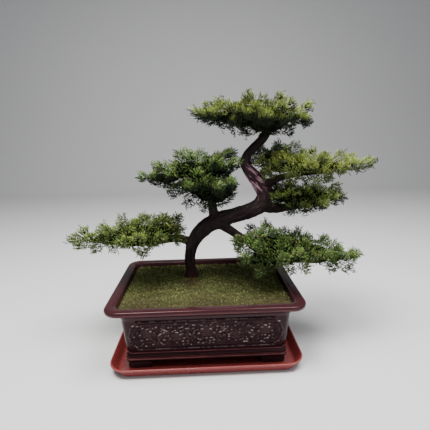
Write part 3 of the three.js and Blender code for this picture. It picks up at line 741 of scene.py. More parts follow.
def foliage_material(name, settings, youth, painted_light, shade_below):
    """Needles, dark at the root and bright at the tip, each shoot tinted, with painted shade over
    the pad.
    """
    material, nodes, shader = new_material(name, 0.55, **{"Specular IOR Level": 0.2})
    # Painted light: each pad's tips are dimmed for how much light reaches that pad
    both = zip(settings.young, settings.mature)
    tip = [(young * youth + mature * (1 - youth)) * painted_light for young, mature in both]
    patch = mottle(nodes, 22.0, 90.0, 0.5)
    fresh = nodes.mix(nodes.scale(patch, 0.38, 0.62), tuple(tip), tuple(c * 0.7 for c in tip))
    tint = nodes.attribute("tint")
    blue = nodes.mix(nodes.scale(tint, 0.6, 1.0, 0.0, 0.6), fresh, (0.22, 0.42, 0.20))
    gold = nodes.mix(nodes.scale(tint, 0.25, 0.0), blue, (0.80, 0.80, 0.28))
    brown = nodes.mix(nodes.scale(tint, 0.955, 0.96), gold, (0.12, 0.06, 0.03))
    dark = tuple(settings.inner)
    lot = nodes.maths("FRACT", nodes.maths("MULTIPLY", tint, 7.3))
    varied = nodes.mix(1.0, brown, nodes.scale(lot, 0.2, 0.5, 0.62, 1.0), "MULTIPLY")
    # Each shoot is dark at its root, as painted shade deep among the needles
    body = nodes.mix(nodes.scale(nodes.attribute("along"), 0.15, 0.85), dark, varied)
    # Painted shade: hollows between clumps, needles near the trunk, undersides and the lower part
    # of the pad
    sunk = nodes.scale(nodes.attribute("relief"), 0.08, 0.42, 0.72, 0.0)
    underside_shade = nodes.scale(nodes.attribute("facing_up"), -0.3, 0.3, shade_below, 0.0)
    low = nodes.scale(nodes.attribute("level"), 0.34, 0.58, shade_below, 0.0)
    old = nodes.scale(nodes.attribute("old"), 0.05, 0.75, 0.0, 0.95)
    deep, lower_shade = nodes.maths("MAXIMUM", sunk, old), nodes.maths("MAXIMUM", low, underside_shade)
    shade = nodes.maths("MAXIMUM", deep, lower_shade)
    nodes.paint(
        shader, nodes.mix(shade, body, tuple(c * 0.6 for c in dark)),
        nodes.bump(nodes.noise(2500.0, 2.0), 0.0001, 0.4), nodes.scale(shade, 0.0, 0.9, 0.5, 0.95),
    )
    return material


def heart_material():
    """What lies deep in a pad: old needles and twigs, near black as painted shade."""
    material, nodes, shader = new_material("Old needles", 0.95, **{"Specular IOR Level": 0.02})
    speckle = nodes.scale(mottle(nodes, 120.0, 700.0, 0.6), 0.35, 0.65)
    colour = nodes.mix(speckle, (0.002, 0.003, 0.0015), (0.010, 0.012, 0.005))
    nodes.paint(shader, colour, nodes.bump(nodes.noise(500.0, 6.0), 0.003, 1.0))
    return material


def stage_material(settings):
    material, nodes, shader = new_material("Floor", 0.7)
    haze = nodes.noise(3.0, 2.0)
    pale = tuple(settings.floor)
    nodes.paint(shader, nodes.mix(haze, pale, tuple(c * 0.97 for c in pale)))
    return material


# Tray


def build_tray(settings):
    rings = []
    for inset, z in split_long(cut_corners(TRAY_SECTION), 6.0):
        radius = TRAY_CORNER - inset * TRAY_CORNER_SHARE
        rings.append(outline_ring(TRAY_HALF, inset, z, radius, TRAY_COUNTS))
    points = np.concatenate(rings) * MM
    made = mesh_object("drip_tray", points, loft_faces(len(rings), len(rings[0])))
    dress(made, tray_material(settings))
    smooth_shading(made.data, 40)
    return finish_piece(made, "tray", "tray")


# Pot


def distance_to_path(px, pz, path, closed=False):
    """How far each point is from the path, and how far along it the nearest place is."""
    ends = list(zip(path, path[1:] + path[:1] if closed else path[1:]))
    best = np.full(px.shape, 1e9)
    part = np.zeros(px.shape)
    for i, ((ax, az), (bx, bz)) in enumerate(ends):
        dx, dz = bx - ax, bz - az
        t = np.clip(((px - ax) * dx + (pz - az) * dz) / (dx * dx + dz * dz + 1e-9), 0, 1)
        far = np.hypot(px - ax - t * dx, pz - az - t * dz)
        nearer = far < best
        best = np.where(nearer, far, best)
        part = np.where(nearer, (i + t) / len(ends), part)
    return best, part


def rounded_ridge(distance, half_width):
    return np.sqrt(np.clip(1 - (distance / half_width) ** 2, 0, 1))


def frame_path(inset):
    """The panel's frame: straight above and below, notched at the corners, bowed at the ends."""
    right, top, notch = PANEL["half"] - inset, PANEL_HALF_HEIGHT - inset, PANEL["notch"]
    quarter = []
    for step in range(9):
        angle = (8 - step) / 8 * math.pi / 2
        x = right - notch * 0.6 - notch * math.cos(angle)
        quarter.append((x, top - notch * math.sin(angle)))
    back = quarter[::-1]
    path = [(right, 0.0), *quarter, *((-x, z) for x, z in back), (-right, 0.0)]
    path += [*((-x, -z) for x, z in quarter), *((x, -z) for x, z in back)]
    return [(x, z + PANEL_MIDDLE) for x, z in path]


def scroll_path(x, z, sign):
    size, steps = SCROLL["size"], SCROLL["steps"]
    path = []
    for i in range(steps + 1):
        part = i / steps * 2 - 1
        turn = part * math.pi * SCROLL["curl"]
        reach = size * (1 - 0.45 * abs(part))
        up = part * size * SCROLL["rise"] + reach * 0.35 * math.cos(turn)
        path.append((x + reach * math.sin(turn), z + sign * up))
    return path


def leaf(px, pz, x, z, angle, length, width):
    """A pointed leaf with a sunk midrib, from its stalk end at x, z."""
    along = (px - x) * math.cos(angle) + (pz - z) * math.sin(angle)
    across = -(px - x) * math.sin(angle) + (pz - z) * math.cos(angle)
    t = np.clip(along / length, 0, 1)
    half = width / 2 * np.sin(np.pi * t ** 0.8) + 1e-6
    inside = (along > 0) & (along < length) & (np.abs(across) < half)
    dome = np.sqrt(np.clip(1 - (across / half) ** 2, 0, 1))
    dome = dome * (0.45 + 0.55 * np.minimum(half / (width / 2), 1))
    rib = 0.35 * bell(across, 0, width * 0.09)
    return np.where(inside, np.clip(dome - rib, 0, 1), 0)


def blossom(px, pz, x, z, radius):
    """Five round petals with a groove between each two, and a boss in the middle."""
    far = np.hypot(px - x, pz - z)
    angle = np.arctan2(pz - z, px - x) - math.pi / 2
    petal = np.abs(np.cos(2.5 * angle))
    edge = radius * (0.66 + 0.34 * petal ** 0.7)
    dome = np.sqrt(np.clip(1 - (far / edge) ** 4, 0, 1)) * (0.35 + 0.65 * petal ** 0.6)
    dish = 1 - 0.5 * bell(far, 0, radius * 0.42)
    boss = 0.95 * rounded_ridge(far, radius * 0.2)
    return np.maximum(np.where(far < edge, dome * dish, 0), boss)


def panel_relief(px, pz):
    """How far the ornament stands out, from 0 to 1, at places on a panel."""
    outer, _ = distance_to_path(px, pz, frame_path(0), closed=True)
    inner, _ = distance_to_path(px, pz, frame_path(6), closed=True)
    height = np.maximum(rounded_ridge(outer, 2.2), 0.5 * rounded_ridge(inner, 1.1))
    each, sprouts = BLOSSOMS["each"], SPROUT["count"]
    for i in range(-each, each + 1):
        sign = 1 if i % 2 == 0 else -1
        x, z = i * BLOSSOMS["spacing"], PANEL_MIDDLE + sign * BLOSSOMS["wave"]
        radius = BLOSSOMS["middle_radius"] if i == 0 else BLOSSOMS["radius"]
        height = np.maximum(height, blossom(px, pz, x, z, radius * 0.92))
        for k in range(sprouts):
            angle = math.pi * 2 * k / sprouts + math.pi / 2 + math.pi / sprouts
            start, length = radius * SPROUT["start"], radius * SPROUT["length"]
            foot = (x + start * math.cos(angle), z + start * math.sin(angle))
            height = np.maximum(height, 0.75 * leaf(px, pz, *foot, angle, length, SPROUT["width"]))
        if i < each:
            path = scroll_path((i + 0.5) * BLOSSOMS["spacing"], PANEL_MIDDLE, sign)
            height = np.maximum(height, scroll_relief(px, pz, path))
    scatter_leaves(px, pz, height)
    return height


def scroll_relief(px, pz, path):
    """A scroll that swells in its middle, with leaves to both sides."""
    far, part = distance_to_path(px, pz, path)
    height = 0.9 * rounded_ridge(far, 1.0 + 1.5 * np.sin(np.pi * part))
    for k, share in enumerate(SCROLL_LEAF["places"]):
        at = int(share * SCROLL["steps"])
        (ax, az), (bx, bz) = path[at], path[at + 1]
        heading = math.atan2(bz - az, bx - ax) + SCROLL_LEAF["lean"] * (1 if k % 2 == 0 else -1)
        sprig = leaf(px, pz, ax, az, heading, SCROLL_LEAF["length"], SCROLL_LEAF["width"])
        height = np.maximum(height, 0.7 * sprig)
    return height


def scatter_leaves(px, pz, height):
    """Raises small leaves where the panel is still empty."""
    rng = np.random.default_rng(LOOSE_LEAF["seed"])
    (wide, tall), (step_x, step_z) = LOOSE_LEAF["reach"], LOOSE_LEAF["step"]
    (shift_x, shift_z), room, slant = LOOSE_LEAF["shift"], LOOSE_LEAF["room"], LOOSE_LEAF["slant"]
    for x in np.arange(-wide, wide + 1, step_x):
        for z in np.arange(PANEL_MIDDLE - tall, PANEL_MIDDLE + tall + 1, step_z):
            cx, cz = x + rng.uniform(-shift_x, shift_x), z + rng.uniform(-shift_z, shift_z)
            near = (np.abs(px - cx) < room) & (np.abs(pz - cz) < room)
            spot = np.hypot(px[near] - cx, pz[near] - cz) < LOOSE_LEAF["clear"]
            if abs(cx) > LOOSE_LEAF["limit"] or not spot.any() or height[near][spot].max() > 0.3:
                continue
            level = rng.random() < LOOSE_LEAF["level_share"]
            heading = rng.uniform(-slant, slant) if level else rng.uniform(0, math.tau)
            length = rng.uniform(*LOOSE_LEAF["length"])
            small = leaf(px[near], pz[near], cx - 3.5, cz, heading, length, LOOSE_LEAF["width"])
            height[near] = np.maximum(height[near], 0.85 * small)


def pot_rings():
    """The points of the pot's rings, which of them are outside, and how many rings there are."""
    foot_line, shoulder = cut_corners(POT_FOOT_LINE, POT_CUT), cut_corners(POT_SHOULDER, POT_CUT)
    wall = split_long([foot_line[-1], shoulder[0]], POT_SPLIT["wall"])
    section = foot_line + wall[1:-1] + split_long(shoulder, POT_SPLIT["rest"])
    rings = []
    for inset, z in section:
        blend = min(inset / POT_BLEND, 1)
        radius = POT_CORNERS[0] + (POT_CORNERS[1] - POT_CORNERS[0]) * blend
        rings.append(outline_ring(POT_HALF, inset, z, radius, POT_SPLIT["counts"]))
    outer_rings = max(i for i, (inset, z) in enumerate(section) if z > RIM_TOP)
    outside = np.zeros(len(rings) * len(rings[0]), bool)
    outside[: outer_rings * len(rings[0])] = True
    return np.concatenate(rings), outside, len(rings)


def raise_ornament(points, outside, relief_height):
    """Raises the ornament from both long sides, and gives its height and the stipple round it."""
    relief, stipple = np.zeros(len(points)), np.zeros(len(points))
    margin = PANEL["margin"]
    for side in (-1, 1):
        flat = outside & (points[:, 1] * side > POT_HALF[1] - PANEL["deepest"])
        flat &= np.abs(points[:, 0]) < PANEL["half"] + margin
        flat &= (points[:, 2] > PANEL["low"] - margin) & (points[:, 2] < PANEL["high"] + margin)
        relief[flat] = panel_relief(-side * points[flat, 0], points[flat, 2])
        points[flat, 1] += side * relief[flat] * relief_height / MM
        stipple[flat] = np.clip(1 - relief[flat] * 2.5, 0, 1)
    return relief, stipple


def glaze_thinness_and_highlights(z, outside):
    """How thin the glaze is on the rim, and the painted highlights on its lip and plinth, from 0 to
    1.
    """
    thin = np.where(z > THIN_RIM["above"], THIN_RIM["share"], 0.0)
    lip_highlight = LIP_HIGHLIGHT["share"] * bell(z, LIP_HIGHLIGHT["height"], LIP_HIGHLIGHT["width"])
    thin = np.maximum(thin, np.where(outside, lip_highlight, 0))
    for height in PLINTH_HIGHLIGHTS["heights"]:
        thin = np.maximum(thin, bell(z, height, PLINTH_HIGHLIGHTS["width"]) * outside)
    return thin * 0.9


def pot_body(settings):
    """The pot's wall, rim and floor as one loft, with what its glaze needs to know."""
    points, outside, ring_count = pot_rings()
    relief, stipple = raise_ornament(points, outside, settings.relief)
    x, _, z = points.T
    within = (np.abs(z - PANEL_MIDDLE) < PANEL_HALF_HEIGHT - 4) & (np.abs(x) < PANEL["half"] - 6)
    faces = loft_faces(ring_count, len(points) // ring_count)
    made = mesh_object("glazed_pot", points * MM, faces)
    # Painted highlight on the upward-facing ornament, fainter on the frame
    upward = np.clip((normal_array(made.data)[:, 2] - 0.22) / 0.3, 0, 1)
    breaking = np.where(relief > 0.12, upward, 0) * np.where(within, 1, 0.2)
    thin = glaze_thinness_and_highlights(z, outside)
    float_attributes(made.data, thin=thin, breaking=breaking, stipple=stipple * within)
    return made


def foot_tool(sign_x, sign_y):
    """An L-shaped corner foot."""
    (a, b), t, taper, chamfer = FOOT["along"], FOOT["thickness"], FOOT["taper"], FOOT["chamfer"]
    corners = [(chamfer, 0), (a, 0), (a - taper, t), (t, t), (t, b - taper), (0, b), (0, chamfer)]
    reach = (POT_HALF[0] - FOOT["inset"], POT_HALF[1] - FOOT["inset"])
    outline = [(sign_x * (reach[0] - x), sign_y * (reach[1] - y)) for x, y in corners]
    if sign_x * sign_y < 0:
        outline.reverse()
    vertices = [(x, y, z) for z in (FOOT["low"], FOOT["high"]) for x, y in outline]
    made = mesh_object("foot", np.array(vertices) * MM, loft_faces(2, len(outline)))
    soften = made.modifiers.new("Soft edges", "BEVEL")
    soften.width, soften.segments = FOOT["edge"] * MM, 3
    soften.limit_method = "ANGLE"
    bake_modifiers(made)
    recalculate(made.data)
    return made


def drain_tool(sign):
    bm = bmesh.new()
    radius = DRAIN["radius"] * MM
    bmesh.ops.create_cone(
        bm, cap_ends=True, segments=DRAIN["sides"], radius1=radius, radius2=radius,
        depth=DRAIN["depth"] * MM,
    )
    place = (sign * DRAIN["from_centre"] * MM, 0, DRAIN["height"] * MM)
    bmesh.ops.translate(bm, verts=bm.verts, vec=place)
    return bmesh_object("drain", bm)


def build_pot(settings):
    made = pot_body(settings)
    for sign_x in (-1, 1):
        for sign_y in (-1, 1):
            boolean(made, foot_tool(sign_x, sign_y), "UNION")
        boolean(made, drain_tool(sign_x), "DIFFERENCE")
    dress(made, glaze_material(settings))
    smooth_shading(made.data, 50)
    return finish_piece(made, "pot", "pot")


# Soil and drain screens


def build_hidden():
    """The soil and the drain screens keep their own solids, with a finish of their own."""
    for name, material in (("soil", soil_material()), ("drain_screen_left", screen_material())):
        dress(NODES[name], material)
    dress(NODES["drain_screen_right"], NODES["drain_screen_left"].data.materials[0])


# Moss


def moss_reach(angle):
    """How far the moss goes from the trunk's hole in a direction."""
    cx, cy = MOSS_HOLE["centre"]
    half, corner = MOSS["half"], MOSS["corner"]
    low, high = 0.0, 400.0
    for _ in range(30):
        middle = (low + high) / 2
        x = abs(cx + middle * math.cos(angle)) - (half[0] - corner)
        y = abs(cy + middle * math.sin(angle)) - (half[1] - corner)
        outside = math.hypot(max(x, 0), max(y, 0)) + min(max(x, y), 0) - corner
        low, high = (low, middle) if outside > 0 else (middle, high)
    return low


def moss_top(x, y, inwards):
    rise = math.sin(min(inwards * 3, 1) * math.pi / 2)
    dome = MOSS["edge"] + (MOSS["crown"] - MOSS["edge"]) * rise
    bumps = math.sin(x * 0.11 + 1.3 * math.sin(y * 0.07)) * math.cos(y * 0.13 + math.sin(x * 0.05))
    broad = noise.noise(Vector((x * 0.055, y * 0.055, 3.0)))
    cushions = broad + 0.5 * noise.noise(Vector((x * 0.15, y * 0.15, 8.0)))
    fade = min(inwards * 4, 1)
    uneven = (MOSS["bump"] * bumps + MOSS["cushion"] * cushions) * fade
    return MOSS["bottom"] + dome - MOSS["sunk"] + uneven


def moss_bed():
    """A closed sheet of rings round the trunk's hole."""
    sectors, rings = MOSS_MESH["sectors"], MOSS_MESH["rings"]
    (cx, cy), hole = MOSS_HOLE["centre"], MOSS_HOLE["radius"]
    angles = [j / sectors * 2 * math.pi for j in range(sectors)]
    reach = [moss_reach(angle) for angle in angles]
    vertices, faces = [], []
    order = [(0, False), (rings, False)] + [(k, True) for k in range(rings, -1, -1)]
    for i, (k, on_top) in enumerate(order):
        outwards = k / rings
        for angle, furthest in zip(angles, reach):
            far = hole + (furthest - hole) * outwards ** MOSS_MESH["crowding"]
            x, y = cx + far * math.cos(angle), cy + far * math.sin(angle)
            vertices.append((x, y, moss_top(x, y, 1 - outwards) if on_top else MOSS["bottom"]))
        faces += quads_between(i * sectors, (i + 1) % len(order) * sectors, sectors)
    return mesh_object("moss_cover", np.array(vertices) * MM, faces)


def tuft(name, rng, length):
    """Three-sided needles that leave one stalk, with how far along each point is."""
    vertices, faces, along = [], [], []
    stalk, width = TUFT["stalk"], length * TUFT["slimness"]
    for i in range(TUFT["needles"]):
        angle, tilt = TUFT["turn"] * i + rng.random(), 0.15 + 0.75 * rng.random()
        reach = 0.6 + 0.45 * rng.random()
        root = Vector((0, 0, stalk * length))
        upwards = TUFT["lift"] + 1 - tilt * 0.4
        out = Vector((math.cos(angle) * tilt, math.sin(angle) * tilt, upwards))
        tip = root + out.normalized() * reach * length
        side = out.cross(Vector((0, 0, 1)))
        side = side.normalized() if side.length > 1e-4 else Vector((1, 0, 0))
        other = out.normalized().cross(side)
        start = len(vertices)
        middle = root + (tip - root) * 0.3
        for k in range(3):
            turn = k * math.pi * 2 / 3 + i
            vertices.append(middle + (side * math.cos(turn) + other * math.sin(turn)) * width)
            along.append(0.25 + 0.4 * stalk)
        vertices += [tip, root]
        along += [1.0, 0.4 * stalk]
        for k in range(3):
            faces.append((start + k, start + (k + 1) % 3, start + 3))
            faces.append((start + (k + 1) % 3, start + k, start + 4))
    made = mesh_object(name, vertices, faces)
    float_attributes(made.data, along=along)
    recalculate(made.data)
    return made


def unit_collection(name, units):
    collection = bpy.data.collections.new(name)
    for unit in units:
        bpy.context.scene.collection.objects.unlink(unit)
        collection.objects.link(unit)
    return collection


def drop_collection(collection):
    for unit in list(collection.objects):
        remove(unit)
    bpy.data.collections.remove(collection)


# Geometry nodes that scatter tufts or shoots over a surface


def scatter_tree(name, keeps_surface):
    """Spaced points on a surface, each with a unit of a collection that leans up and outwards."""
    tree = bpy.data.node_groups.new(name, "GeometryNodeTree")
    tree.is_modifier = True
    kinds = {
        "Geometry": "Geometry", "Units": "Collection", "Spacing": "Float", "Smallest": "Float",
        "Largest": "Float", "Upwards": "Float", "Outwards": "Float", "Centre": "Vector",
        "Ruffle": "Float", "Sunk": "Float", "Seed": "Int", "Material": "Material",
    }
    for label, kind in kinds.items():
        new_socket(tree, label, kind)
    new_socket(tree, "Geometry", "Geometry", "OUTPUT")
    nodes = Nodes(tree)
    source = nodes.add("NodeGroupInput").outputs
    spread = nodes.add("GeometryNodeDistributePointsOnFaces", {
        "Mesh": source["Geometry"], "Distance Min": source["Spacing"], "Density Max": MOST_POINTS,
        "Density Factor": nodes.named("density"), "Seed": source["Seed"],
    }, distribute_method="POISSON")

    # Which way each unit points
    position = nodes.add("GeometryNodeInputPosition").outputs[0]
    away = nodes.vector("SUBTRACT", position, source["Centre"])
    level = nodes.vector("MULTIPLY", away, (1.0, 1.0, 0.15))
    outward = nodes.vector("SCALE", nodes.vector("NORMALIZE", level), source["Outwards"])
    up = nodes.add("ShaderNodeCombineXYZ", {"Z": source["Upwards"]}).outputs[0]
    stir = nodes.random({0: (-1, -1, -1), 1: (1, 1, 1), "Seed": source["Seed"]}, "FLOAT_VECTOR")
    heading = spread.outputs["Normal"]
    for extra in (outward, up, nodes.vector("SCALE", stir, source["Ruffle"])):
        heading = nodes.vector("ADD", heading, extra)
    heading = nodes.vector("NORMALIZE", heading)

    # Its turn round its own axis, its size and how far it is sunk
    aimed = nodes.add("FunctionNodeAlignRotationToVector", {"Vector": heading}, axis="Z")
    turn = nodes.add("FunctionNodeAxisAngleToRotation", {
        "Axis": (0, 0, 1), "Angle": nodes.random({3: 6.283}),
    })
    turned = nodes.add("FunctionNodeRotateRotation", {
        0: aimed.outputs[0], 1: turn.outputs[0],
    }, rotation_space="LOCAL")
    size = nodes.random({2: source["Smallest"], 3: source["Largest"], "Seed": 3})
    scale = nodes.maths("MULTIPLY", size, nodes.named("reach"))
    held = nodes.store(spread.outputs["Points"], "aim", turned.outputs[0], "QUATERNION", "POINT")
    sunk = nodes.vector("SCALE", heading, nodes.maths("MULTIPLY", source["Sunk"], -1.0))
    moved = nodes.add("GeometryNodeSetPosition", {"Geometry": held, "Offset": sunk})

    units = nodes.add("GeometryNodeCollectionInfo", {
        "Collection": source["Units"], "Separate Children": True, "Reset Children": True,
    })
    placed = nodes.add("GeometryNodeInstanceOnPoints", {
        "Points": moved.outputs["Geometry"], "Instance": units.outputs[0], "Pick Instance": True,
        "Rotation": nodes.named("aim", "QUATERNION"), "Scale": scale,
    })
    tinted = nodes.store(placed.outputs[0], "tint", nodes.random({"Seed": 9}), "FLOAT", "INSTANCE")
    result = nodes.add("GeometryNodeRealizeInstances", {0: tinted}).outputs[0]
    if keeps_surface:
        joined = nodes.add("GeometryNodeJoinGeometry")
        nodes.links.new(result, joined.inputs[0])
        nodes.links.new(source["Geometry"], joined.inputs[0])
        result = joined.outputs[0]
    painted = nodes.add("GeometryNodeSetMaterial", {
        "Geometry": result, "Material": source["Material"],
    })
    target = nodes.add("NodeGroupOutput")
    nodes.links.new(painted.outputs[0], target.inputs[0])
    return tree


def scatter(target, tree, values):
    """Runs the tree on the object and keeps the result as its plain mesh."""
    modifier = target.modifiers.new("Scatter", "NODES")
    modifier.node_group = tree
    for item in tree.interface.items_tree:
        if item.in_out == "INPUT" and item.name in values:
            modifier[item.identifier] = values[item.name]
    return bake_modifiers(target)


def build_moss(settings):
    made = moss_bed()
    points, normals = vertex_array(made.data) / MM, normal_array(made.data)
    top = (normals[:, 2] > 0.2) & (points[:, 2] > MOSS["bottom"] + 0.5)
    density = np.where(top, 1.0, 0.0)
    float_attributes(made.data, density=density, along=0.18, tint=0.3, reach=1.0)
    rng = np.random.default_rng(settings.seed)
    tufts = [tuft(f"tuft_{i}", rng, settings.tuft) for i in range(TUFT["variants"])]
    collection = unit_collection("Moss tufts", tufts)
    scatter(made, scatter_tree("Moss tufts over the bed", True), {
        "Units": collection, "Spacing": settings.spacing, "Seed": settings.seed,
        "Material": moss_material(settings), **MOSS_STANCE,
    })
    drop_collection(collection)
    x, y, _ = (vertex_array(made.data) / MM).T
    # The front band is partly dry moss and partly painted shadow under the rim
    front = bell(y, -MOSS["half"][1], MOSS_BROWN["front"]) * (0.75 + 0.25 * np.sin(x * 0.045 + 1.2))
    (wide, deep), trunk_x = MOSS_BROWN["patch"], MOSS_HOLE["centre"][0]
    patch = np.exp(-((x - trunk_x) / wide) ** 2 - ((y - MOSS_BROWN["patch_y"]) / deep) ** 2)
    float_attributes(made.data, brown=np.clip(front + patch, 0, 1))
    return finish_piece(made, "moss", "moss")


# Wood


def spline_points(points, per_span):
    """Places on a centripetal curve through points of any size, with per_span steps to a span."""
    p = [np.array(q, float) for q in points]
    p = [2 * p[0] - p[1]] + p + [2 * p[-1] - p[-2]]
    out = []
    for i in range(1, len(p) - 2):
        a, b, c, d = p[i - 1: i + 3]
        knots = [0.0]
        for q, r in ((a, b), (b, c), (c, d)):
            knots.append(knots[-1] + max(np.linalg.norm(r[:3] - q[:3]), 1e-6) ** 0.5)
        steps = per_span + (1 if i == len(p) - 3 else 0)
        for s in range(steps):
            t = knots[1] + (knots[2] - knots[1]) * s / per_span
            pairs = enumerate(((a, b), (b, c), (c, d)))
            first, middle, last = (between(q, r, knots[j], knots[j + 1], t) for j, (q, r) in pairs)
            left = between(first, middle, knots[0], knots[2], t)
            right = between(middle, last, knots[1], knots[3], t)
            out.append(between(left, right, knots[1], knots[2], t))
    return np.array(out)


def between(a, b, start, end, t):
    return a * (end - t) / (end - start) + b * (t - start) / (end - start)


def limb_mesh(points, sides, flute, phase):
    """Rings round a limb, with its grain as a place wrapped round a straight cylinder."""
    line = spline_points(points, LINE_STEPS)
    centres, radii = line[:, :3], line[:, 3]
    tangents = np.gradient(centres, axis=0)
    tangents /= np.linalg.norm(tangents, axis=1)[:, None]
    side = np.array([1.0, 0.0, 0.1])
    length = 0.0
    vertices, grain, share = [], [], []
    for i, (centre, radius, tangent) in enumerate(zip(centres, radii, tangents)):
        side = side - tangent * (side @ tangent)
        side /= np.linalg.norm(side)
        across = np.cross(tangent, side)
        if i:
            length += np.linalg.norm(centre - centres[i - 1])
        t = i / (len(centres) - 1)
        for j in range(sides):
            angle = j / sides * math.pi * 2
            ridge = math.cos(3 * angle + 5 * t + phase)
            ridge += 0.6 * math.cos(5 * angle - 9 * t + 1 + phase)
            ridge += 0.35 * math.cos(9 * angle + 14 * t + 2 * phase)
            wide = radius * (1 + flute * ridge)
            vertices.append(centre + (side * math.cos(angle) + across * math.sin(angle)) * wide)
            swirl = angle + length * 0.012
            x, y = radius * math.cos(swirl), radius * math.sin(swirl)
            grain.append((x, y, length * 0.16 + phase * 40))
            share.append(t)
    return np.array(vertices), np.array(grain), np.array(share), len(centres)


def joined_limbs(settings):
    """The limbs grown into one skin, and each limb point's place, grain, share of its length and
    whether it is on the trunk.
    """
    rows, faces, count = [], [], 0
    limbs = [(TRUNK, 40, 0.06)] + [(b, 22 if b[0][3] >= 8 else 14, 0.05) for b in BRANCHES]
    for index, (points, sides, flute) in enumerate(limbs):
        vertices, grain, share, rings = limb_mesh(points, sides, flute, index * 1.3)
        faces += [tuple(count + v for v in face) for face in loft_faces(rings, sides)]
        count += len(vertices)
        rows.append((vertices, grain, share, np.full(len(vertices), index == 0)))
    points, grain, share, stem = (np.concatenate(column) for column in zip(*rows))
    made = mesh_object("trunk_and_branches", points * MM, faces)
    remesh = made.modifiers.new("Join the limbs", "REMESH")
    remesh.mode, remesh.voxel_size = "VOXEL", settings.voxel
    soften = made.modifiers.new("Soften the forks", "SMOOTH")
    soften.factor, soften.iterations = 0.5, 3
    return bake_modifiers(made), points, grain, share, stem


def bark_height(places):
    """How high the bark stands at places on a straight cylinder."""
    height = np.empty(len(places))
    for i, place in enumerate(places):
        v = Vector(place)
        ridged = 1 - abs(noise.noise(v * 0.22)) * 2
        flakes = noise.noise(v * 0.6) * 0.5 + noise.noise(v * 1.3) * 0.25
        height[i] = ridged * 0.7 + flakes
    return height


def build_wood(settings):
    made, points, grain, share, stem = joined_limbs(settings)
    tree = search_tree(points)
    final, normals = vertex_array(made.data) / MM, normal_array(made.data)
    near = [tree.find_n(Vector(p), 4) for p in final]
    nearest = np.array([[found[1] for found in group] for group in near])
    weight = 1 / (np.array([[found[2] for found in group] for group in near]) + 0.3) ** 2
    weight /= weight.sum(1)[:, None]
    wrapped = (grain[nearest] * weight[:, :, None]).sum(1)
    part, on_stem = (share[nearest] * weight).sum(1), stem[nearest[:, 0]]
    bare = np.where(on_stem, bell(part, BARE_WOOD["at"], BARE_WOOD["reach"]), 0)
    bare = np.clip(bare * 1.3 * (0.4 + 0.6 * np.clip(-normals[:, 1] * 1.2 + 0.5, 0, 1)), 0, 1)
    red = np.where(on_stem, bell(part, RED_WOOD["at"], RED_WOOD["reach"]), 0) * RED_WOOD["share"]
    height = bark_height(wrapped)
    slim = np.clip(np.hypot(wrapped[:, 0], wrapped[:, 1]) / 12, 0.25, 1)
    depth = settings.depth / MM * slim * (1 - 0.55 * bare)
    grooves = np.sin(np.arctan2(wrapped[:, 1], wrapped[:, 0]) * 7 + part * 30) * bare * 1.1
    lift = (height - 0.35) * depth + grooves
    set_vertices(made.data, (final + normals * lift[:, None]) * MM)
    vector_attribute(made.data, "grain", wrapped * MM)
    float_attributes(made.data, height=np.clip(height * 0.5 + 0.5, 0, 1), bare=bare, red=red)
    dress(made, wood_material(settings))
    smooth_shading(made.data)
    return finish_piece(made, "bark", "trunk")


# Foliage


def merged_copy(node, name):
    """The node's mesh with its loose triangles joined, as a new object."""
    bm = bmesh.new()
    bm.from_mesh(node.data)
    bmesh.ops.remove_doubles(bm, verts=bm.verts, dist=1e-5)
    return bmesh_object(name, bm)


def needle(vertices, faces, along, root, tip, width, shade):
    """A three-sided spike from root to tip. Shade is how far along the shoot it sits."""
    way = (tip - root).normalized()
    side = way.orthogonal().normalized()
    other = way.cross(side)
    start = len(vertices)
    for k in range(3):
        turn = k * math.pi * 2 / 3
        vertices.append(root + (side * math.cos(turn) + other * math.sin(turn)) * width)
        along.append(0.45 * shade)
    vertices.append(tip)
    along.append(0.35 + 0.65 * shade)
    faces.append((start + 2, start + 1, start))
    faces += [(start + k, start + (k + 1) % 3, start + 3) for k in range(3)]


def shoot_units(settings):
    """Short shoots that taper to a point, with needles in spirals round the stem."""
    rng = np.random.default_rng(SHOOT["seed"])
    length, count = settings.shoot, SHOOT["needles"]
    units = []
    for variant in range(SHOOT["variants"]):
        vertices, faces, along = [], [], []
        bend = Vector((rng.normal() * 0.12, rng.normal() * 0.12, 0))
        for i in range(count):
            share = i / (count - 1)
            root = Vector((0, 0, (0.12 + 0.66 * share) * length)) + bend * share * share * length
            angle = i * SHOOT["turn"] + rng.random() * 0.7
            lean = 0.95 - 0.45 * share
            reach = length * (0.36 - 0.08 * share) * (0.85 + 0.3 * rng.random())
            way = Vector((math.cos(angle) * lean, math.sin(angle) * lean, 0.9)).normalized()
            ends, width = (root - way * 0.0004, root + way * reach), length * SHOOT["slimness"]
            needle(vertices, faces, along, *ends, width, 0.25 + 0.6 * share)
        ends = Vector((0, 0, 0)), Vector((0, 0, length)) + bend * length
        needle(vertices, faces, along, *ends, length * SHOOT["stem"], 1.0)
        made = mesh_object(f"shoot_{variant}", vertices, faces)
        float_attributes(made.data, along=along)
        units.append(made)
    return unit_collection("Shoots", units)


def swollen(guide, name, outwards, voxel, rounds):
    """The guide grown or shrunk, as one soft closed skin."""
    made = guide.copy()
    made.data = guide.data.copy()
    made.name = name
    bpy.context.scene.collection.objects.link(made)
    grow = made.modifiers.new("Grow", "DISPLACE")
    grow.strength, grow.mid_level = outwards, 0.0
    remesh = made.modifiers.new("Skin", "REMESH")
    remesh.mode, remesh.voxel_size = "VOXEL", voxel
    soften = made.modifiers.new("Soften", "SMOOTH")
    soften.factor, soften.iterations = 0.5, rounds
    return bake_modifiers(made)


def roughen(mesh, depth, cell):
    points, normals = vertex_array(mesh), normal_array(mesh)
    lift = np.array([noise.noise(Vector(p) / cell) for p in points])
    set_vertices(mesh, points + normals * (lift * depth)[:, None])


